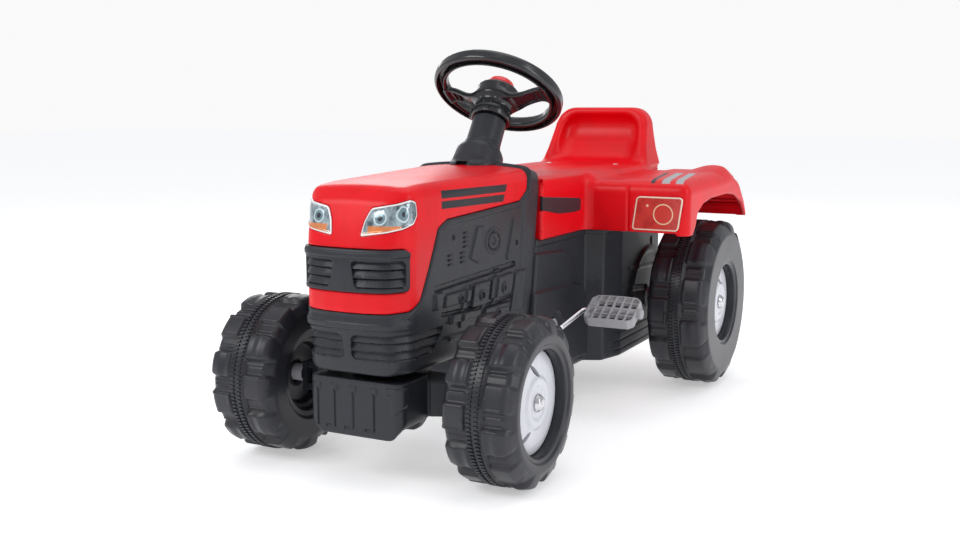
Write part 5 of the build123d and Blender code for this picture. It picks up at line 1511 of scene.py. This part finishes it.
class TRACTOR_OT_metalwork(bpy.types.Operator):
    """Finishes on the rods, shafts, bushes and screws"""
    bl_idname = "tractor.metalwork"
    bl_label = "Rods, shafts and screws"

    def execute(self, context):
        repaint(finish("zinc_steel"), "crank", "rear_axle", "steering_rod", "tie_rod", "drive_pin", "stub_axle_left",
                "stub_axle_right", "kingpin_left", "kingpin_right", "crank_sprocket", "axle_sprocket")
        repaint(finish("screw_steel"), "hood_screws", "seat_screws", "axle_housing_screws", "frame_screws")
        repaint(finish("black_plastic"), "column_tube", "knuckle_left", "knuckle_right")
        repaint(finish("bush_plastic"), "column_bush", "lower_bush", "crank_bush_left", "crank_bush_right",
                "axle_bush_left", "axle_bush_right")
        repaint(finish("grey_plastic"), "pedal_cap_left", "pedal_cap_right")
        repaint(finish("squeaker_rubber"), "horn_squeaker")
        return {"FINISHED"}


class TRACTOR_OT_stage(bpy.types.Operator):
    """Pale floor, soft studio lights and the camera"""
    bl_idname = "tractor.stage"
    bl_label = "Stage"

    def execute(self, context):
        half = sizes().floor_half
        mesh = bpy.data.meshes.new("studio_floor")
        mesh.from_pydata([(-half, -half, 0), (half, -half, 0), (half, half, 0), (-half, half, 0)], [], [(0, 1, 2, 3)])
        floor = bpy.data.objects.new("studio_floor", mesh)
        context.scene.collection.objects.link(floor)
        pale = Finish("pale_floor", Emission_Color=(1.0, 1.0, 1.0, 1.0), Emission_Strength=0.41)
        tone = pale.noise(260.0, 2.0)
        pale.feed("Base Color", pale.mix(tone, (0.88, 0.88, 0.89, 1.0), (0.93, 0.93, 0.94, 1.0)))
        pale.feed("Roughness", 0.75 + tone * 0.1)
        mesh.materials.append(pale.material)
        world = bpy.data.worlds.new("studio_air")
        context.scene.world = world
        world.use_nodes = True
        nodes, links = world.node_tree.nodes, world.node_tree.links
        air = nodes["Background"]
        air.inputs["Color"].default_value = (0.96, 0.97, 1.0, 1.0)
        air.inputs["Strength"].default_value = 0.60
        seen, both = nodes.new("ShaderNodeBackground"), nodes.new("ShaderNodeMixShader")
        seen.inputs["Color"].default_value = (1.0, 1.0, 1.0, 1.0)
        seen.inputs["Strength"].default_value = 0.95
        links.new(nodes.new("ShaderNodeLightPath").outputs["Is Camera Ray"], both.inputs[0])
        links.new(air.outputs[0], both.inputs[1])
        links.new(seen.outputs[0], both.inputs[2])
        links.new(both.outputs[0], nodes["World Output"].inputs["Surface"])
        aim = Vector((0.0, -0.05, 0.22))
        for name, place, size, power in (
                ("key_softbox", (-1.3, -2.3, 2.1), (1.6, 1.2), 30.0),
                ("side_strip", (2.5, -0.3, 1.3), (0.7, 1.8), 15.0),
                ("top_softbox", (0.2, 0.3, 2.6), (2.2, 2.2), 16.0),
                ("back_strip", (-1.8, 1.9, 1.5), (1.2, 1.2), 12.0)):
            lamp = bpy.data.lights.new(name, "AREA")
            lamp.shape, lamp.size, lamp.size_y, lamp.energy = "RECTANGLE", size[0], size[1], power
            light = bpy.data.objects.new(name, lamp)
            light.location = place
            light.rotation_euler = (aim - Vector(place)).to_track_quat("-Z", "Y").to_euler()
            context.scene.collection.objects.link(light)
        data = bpy.data.cameras.new("view")
        data.lens, data.sensor_width, data.clip_start, data.clip_end = 42.39, 36.0, 0.05, 60.0
        camera = bpy.data.objects.new("view", data)
        camera.location = (0.7274, -1.4830, 0.448)
        look = Vector((0.0, -0.0753, 0.2157)) - Vector(camera.location)
        camera.rotation_euler = look.to_track_quat("-Z", "Y").to_euler()
        context.scene.collection.objects.link(camera)
        context.scene.camera = camera
        context.scene.view_settings.view_transform = "Standard"
        return {"FINISHED"}


STEPS = (TRACTOR_OT_hood, TRACTOR_OT_headlights, TRACTOR_OT_grille, TRACTOR_OT_engine_body, TRACTOR_OT_rear_frame,
         TRACTOR_OT_seat, TRACTOR_OT_axle_housing, TRACTOR_OT_steering, TRACTOR_OT_wheels, TRACTOR_OT_pedals,
         TRACTOR_OT_drive, TRACTOR_OT_metalwork, TRACTOR_OT_stage)


class TRACTOR_PT_build(bpy.types.Panel):
    """Sidebar panel with the sizes, the colours and a button for each group of pieces"""
    bl_label = "Pedal tractor"
    bl_idname = "TRACTOR_PT_build"
    bl_space_type = "VIEW_3D"
    bl_region_type = "UI"
    bl_category = "Tractor"

    def draw(self, context):
        for group in (context.scene.tractor_sizes, context.scene.tractor_colours):
            box = self.layout.box()
            for key in group.bl_rna.properties.keys():
                if key not in ("rna_type", "name"):
                    box.prop(group, key)
        column = self.layout.column(align=True)
        for step in STEPS:
            column.operator(step.bl_idname)


CLASSES = (TractorColours, TractorSizes, *STEPS, TRACTOR_PT_build)


def register():
    for cls in CLASSES:
        bpy.utils.register_class(cls)
    bpy.types.Scene.tractor_colours = bpy.props.PointerProperty(type=TractorColours)
    bpy.types.Scene.tractor_sizes = bpy.props.PointerProperty(type=TractorSizes)


def unregister():
    del bpy.types.Scene.tractor_sizes
    del bpy.types.Scene.tractor_colours
    for cls in reversed(CLASSES):
        bpy.utils.unregister_class(cls)


def main():
    register()
    bpy.ops.tractor.hood()
    bpy.ops.tractor.headlights()
    bpy.ops.tractor.grille()
    bpy.ops.tractor.engine_body()
    bpy.ops.tractor.rear_frame()
    bpy.ops.tractor.seat()
    bpy.ops.tractor.axle_housing()
    bpy.ops.tractor.steering()
    bpy.ops.tractor.wheels()
    bpy.ops.tractor.pedals()
    bpy.ops.tractor.drive()
    bpy.ops.tractor.metalwork()
    bpy.ops.tractor.stage()
    bpy.context.view_layer.update()


if __name__ == "__main__":
    main()
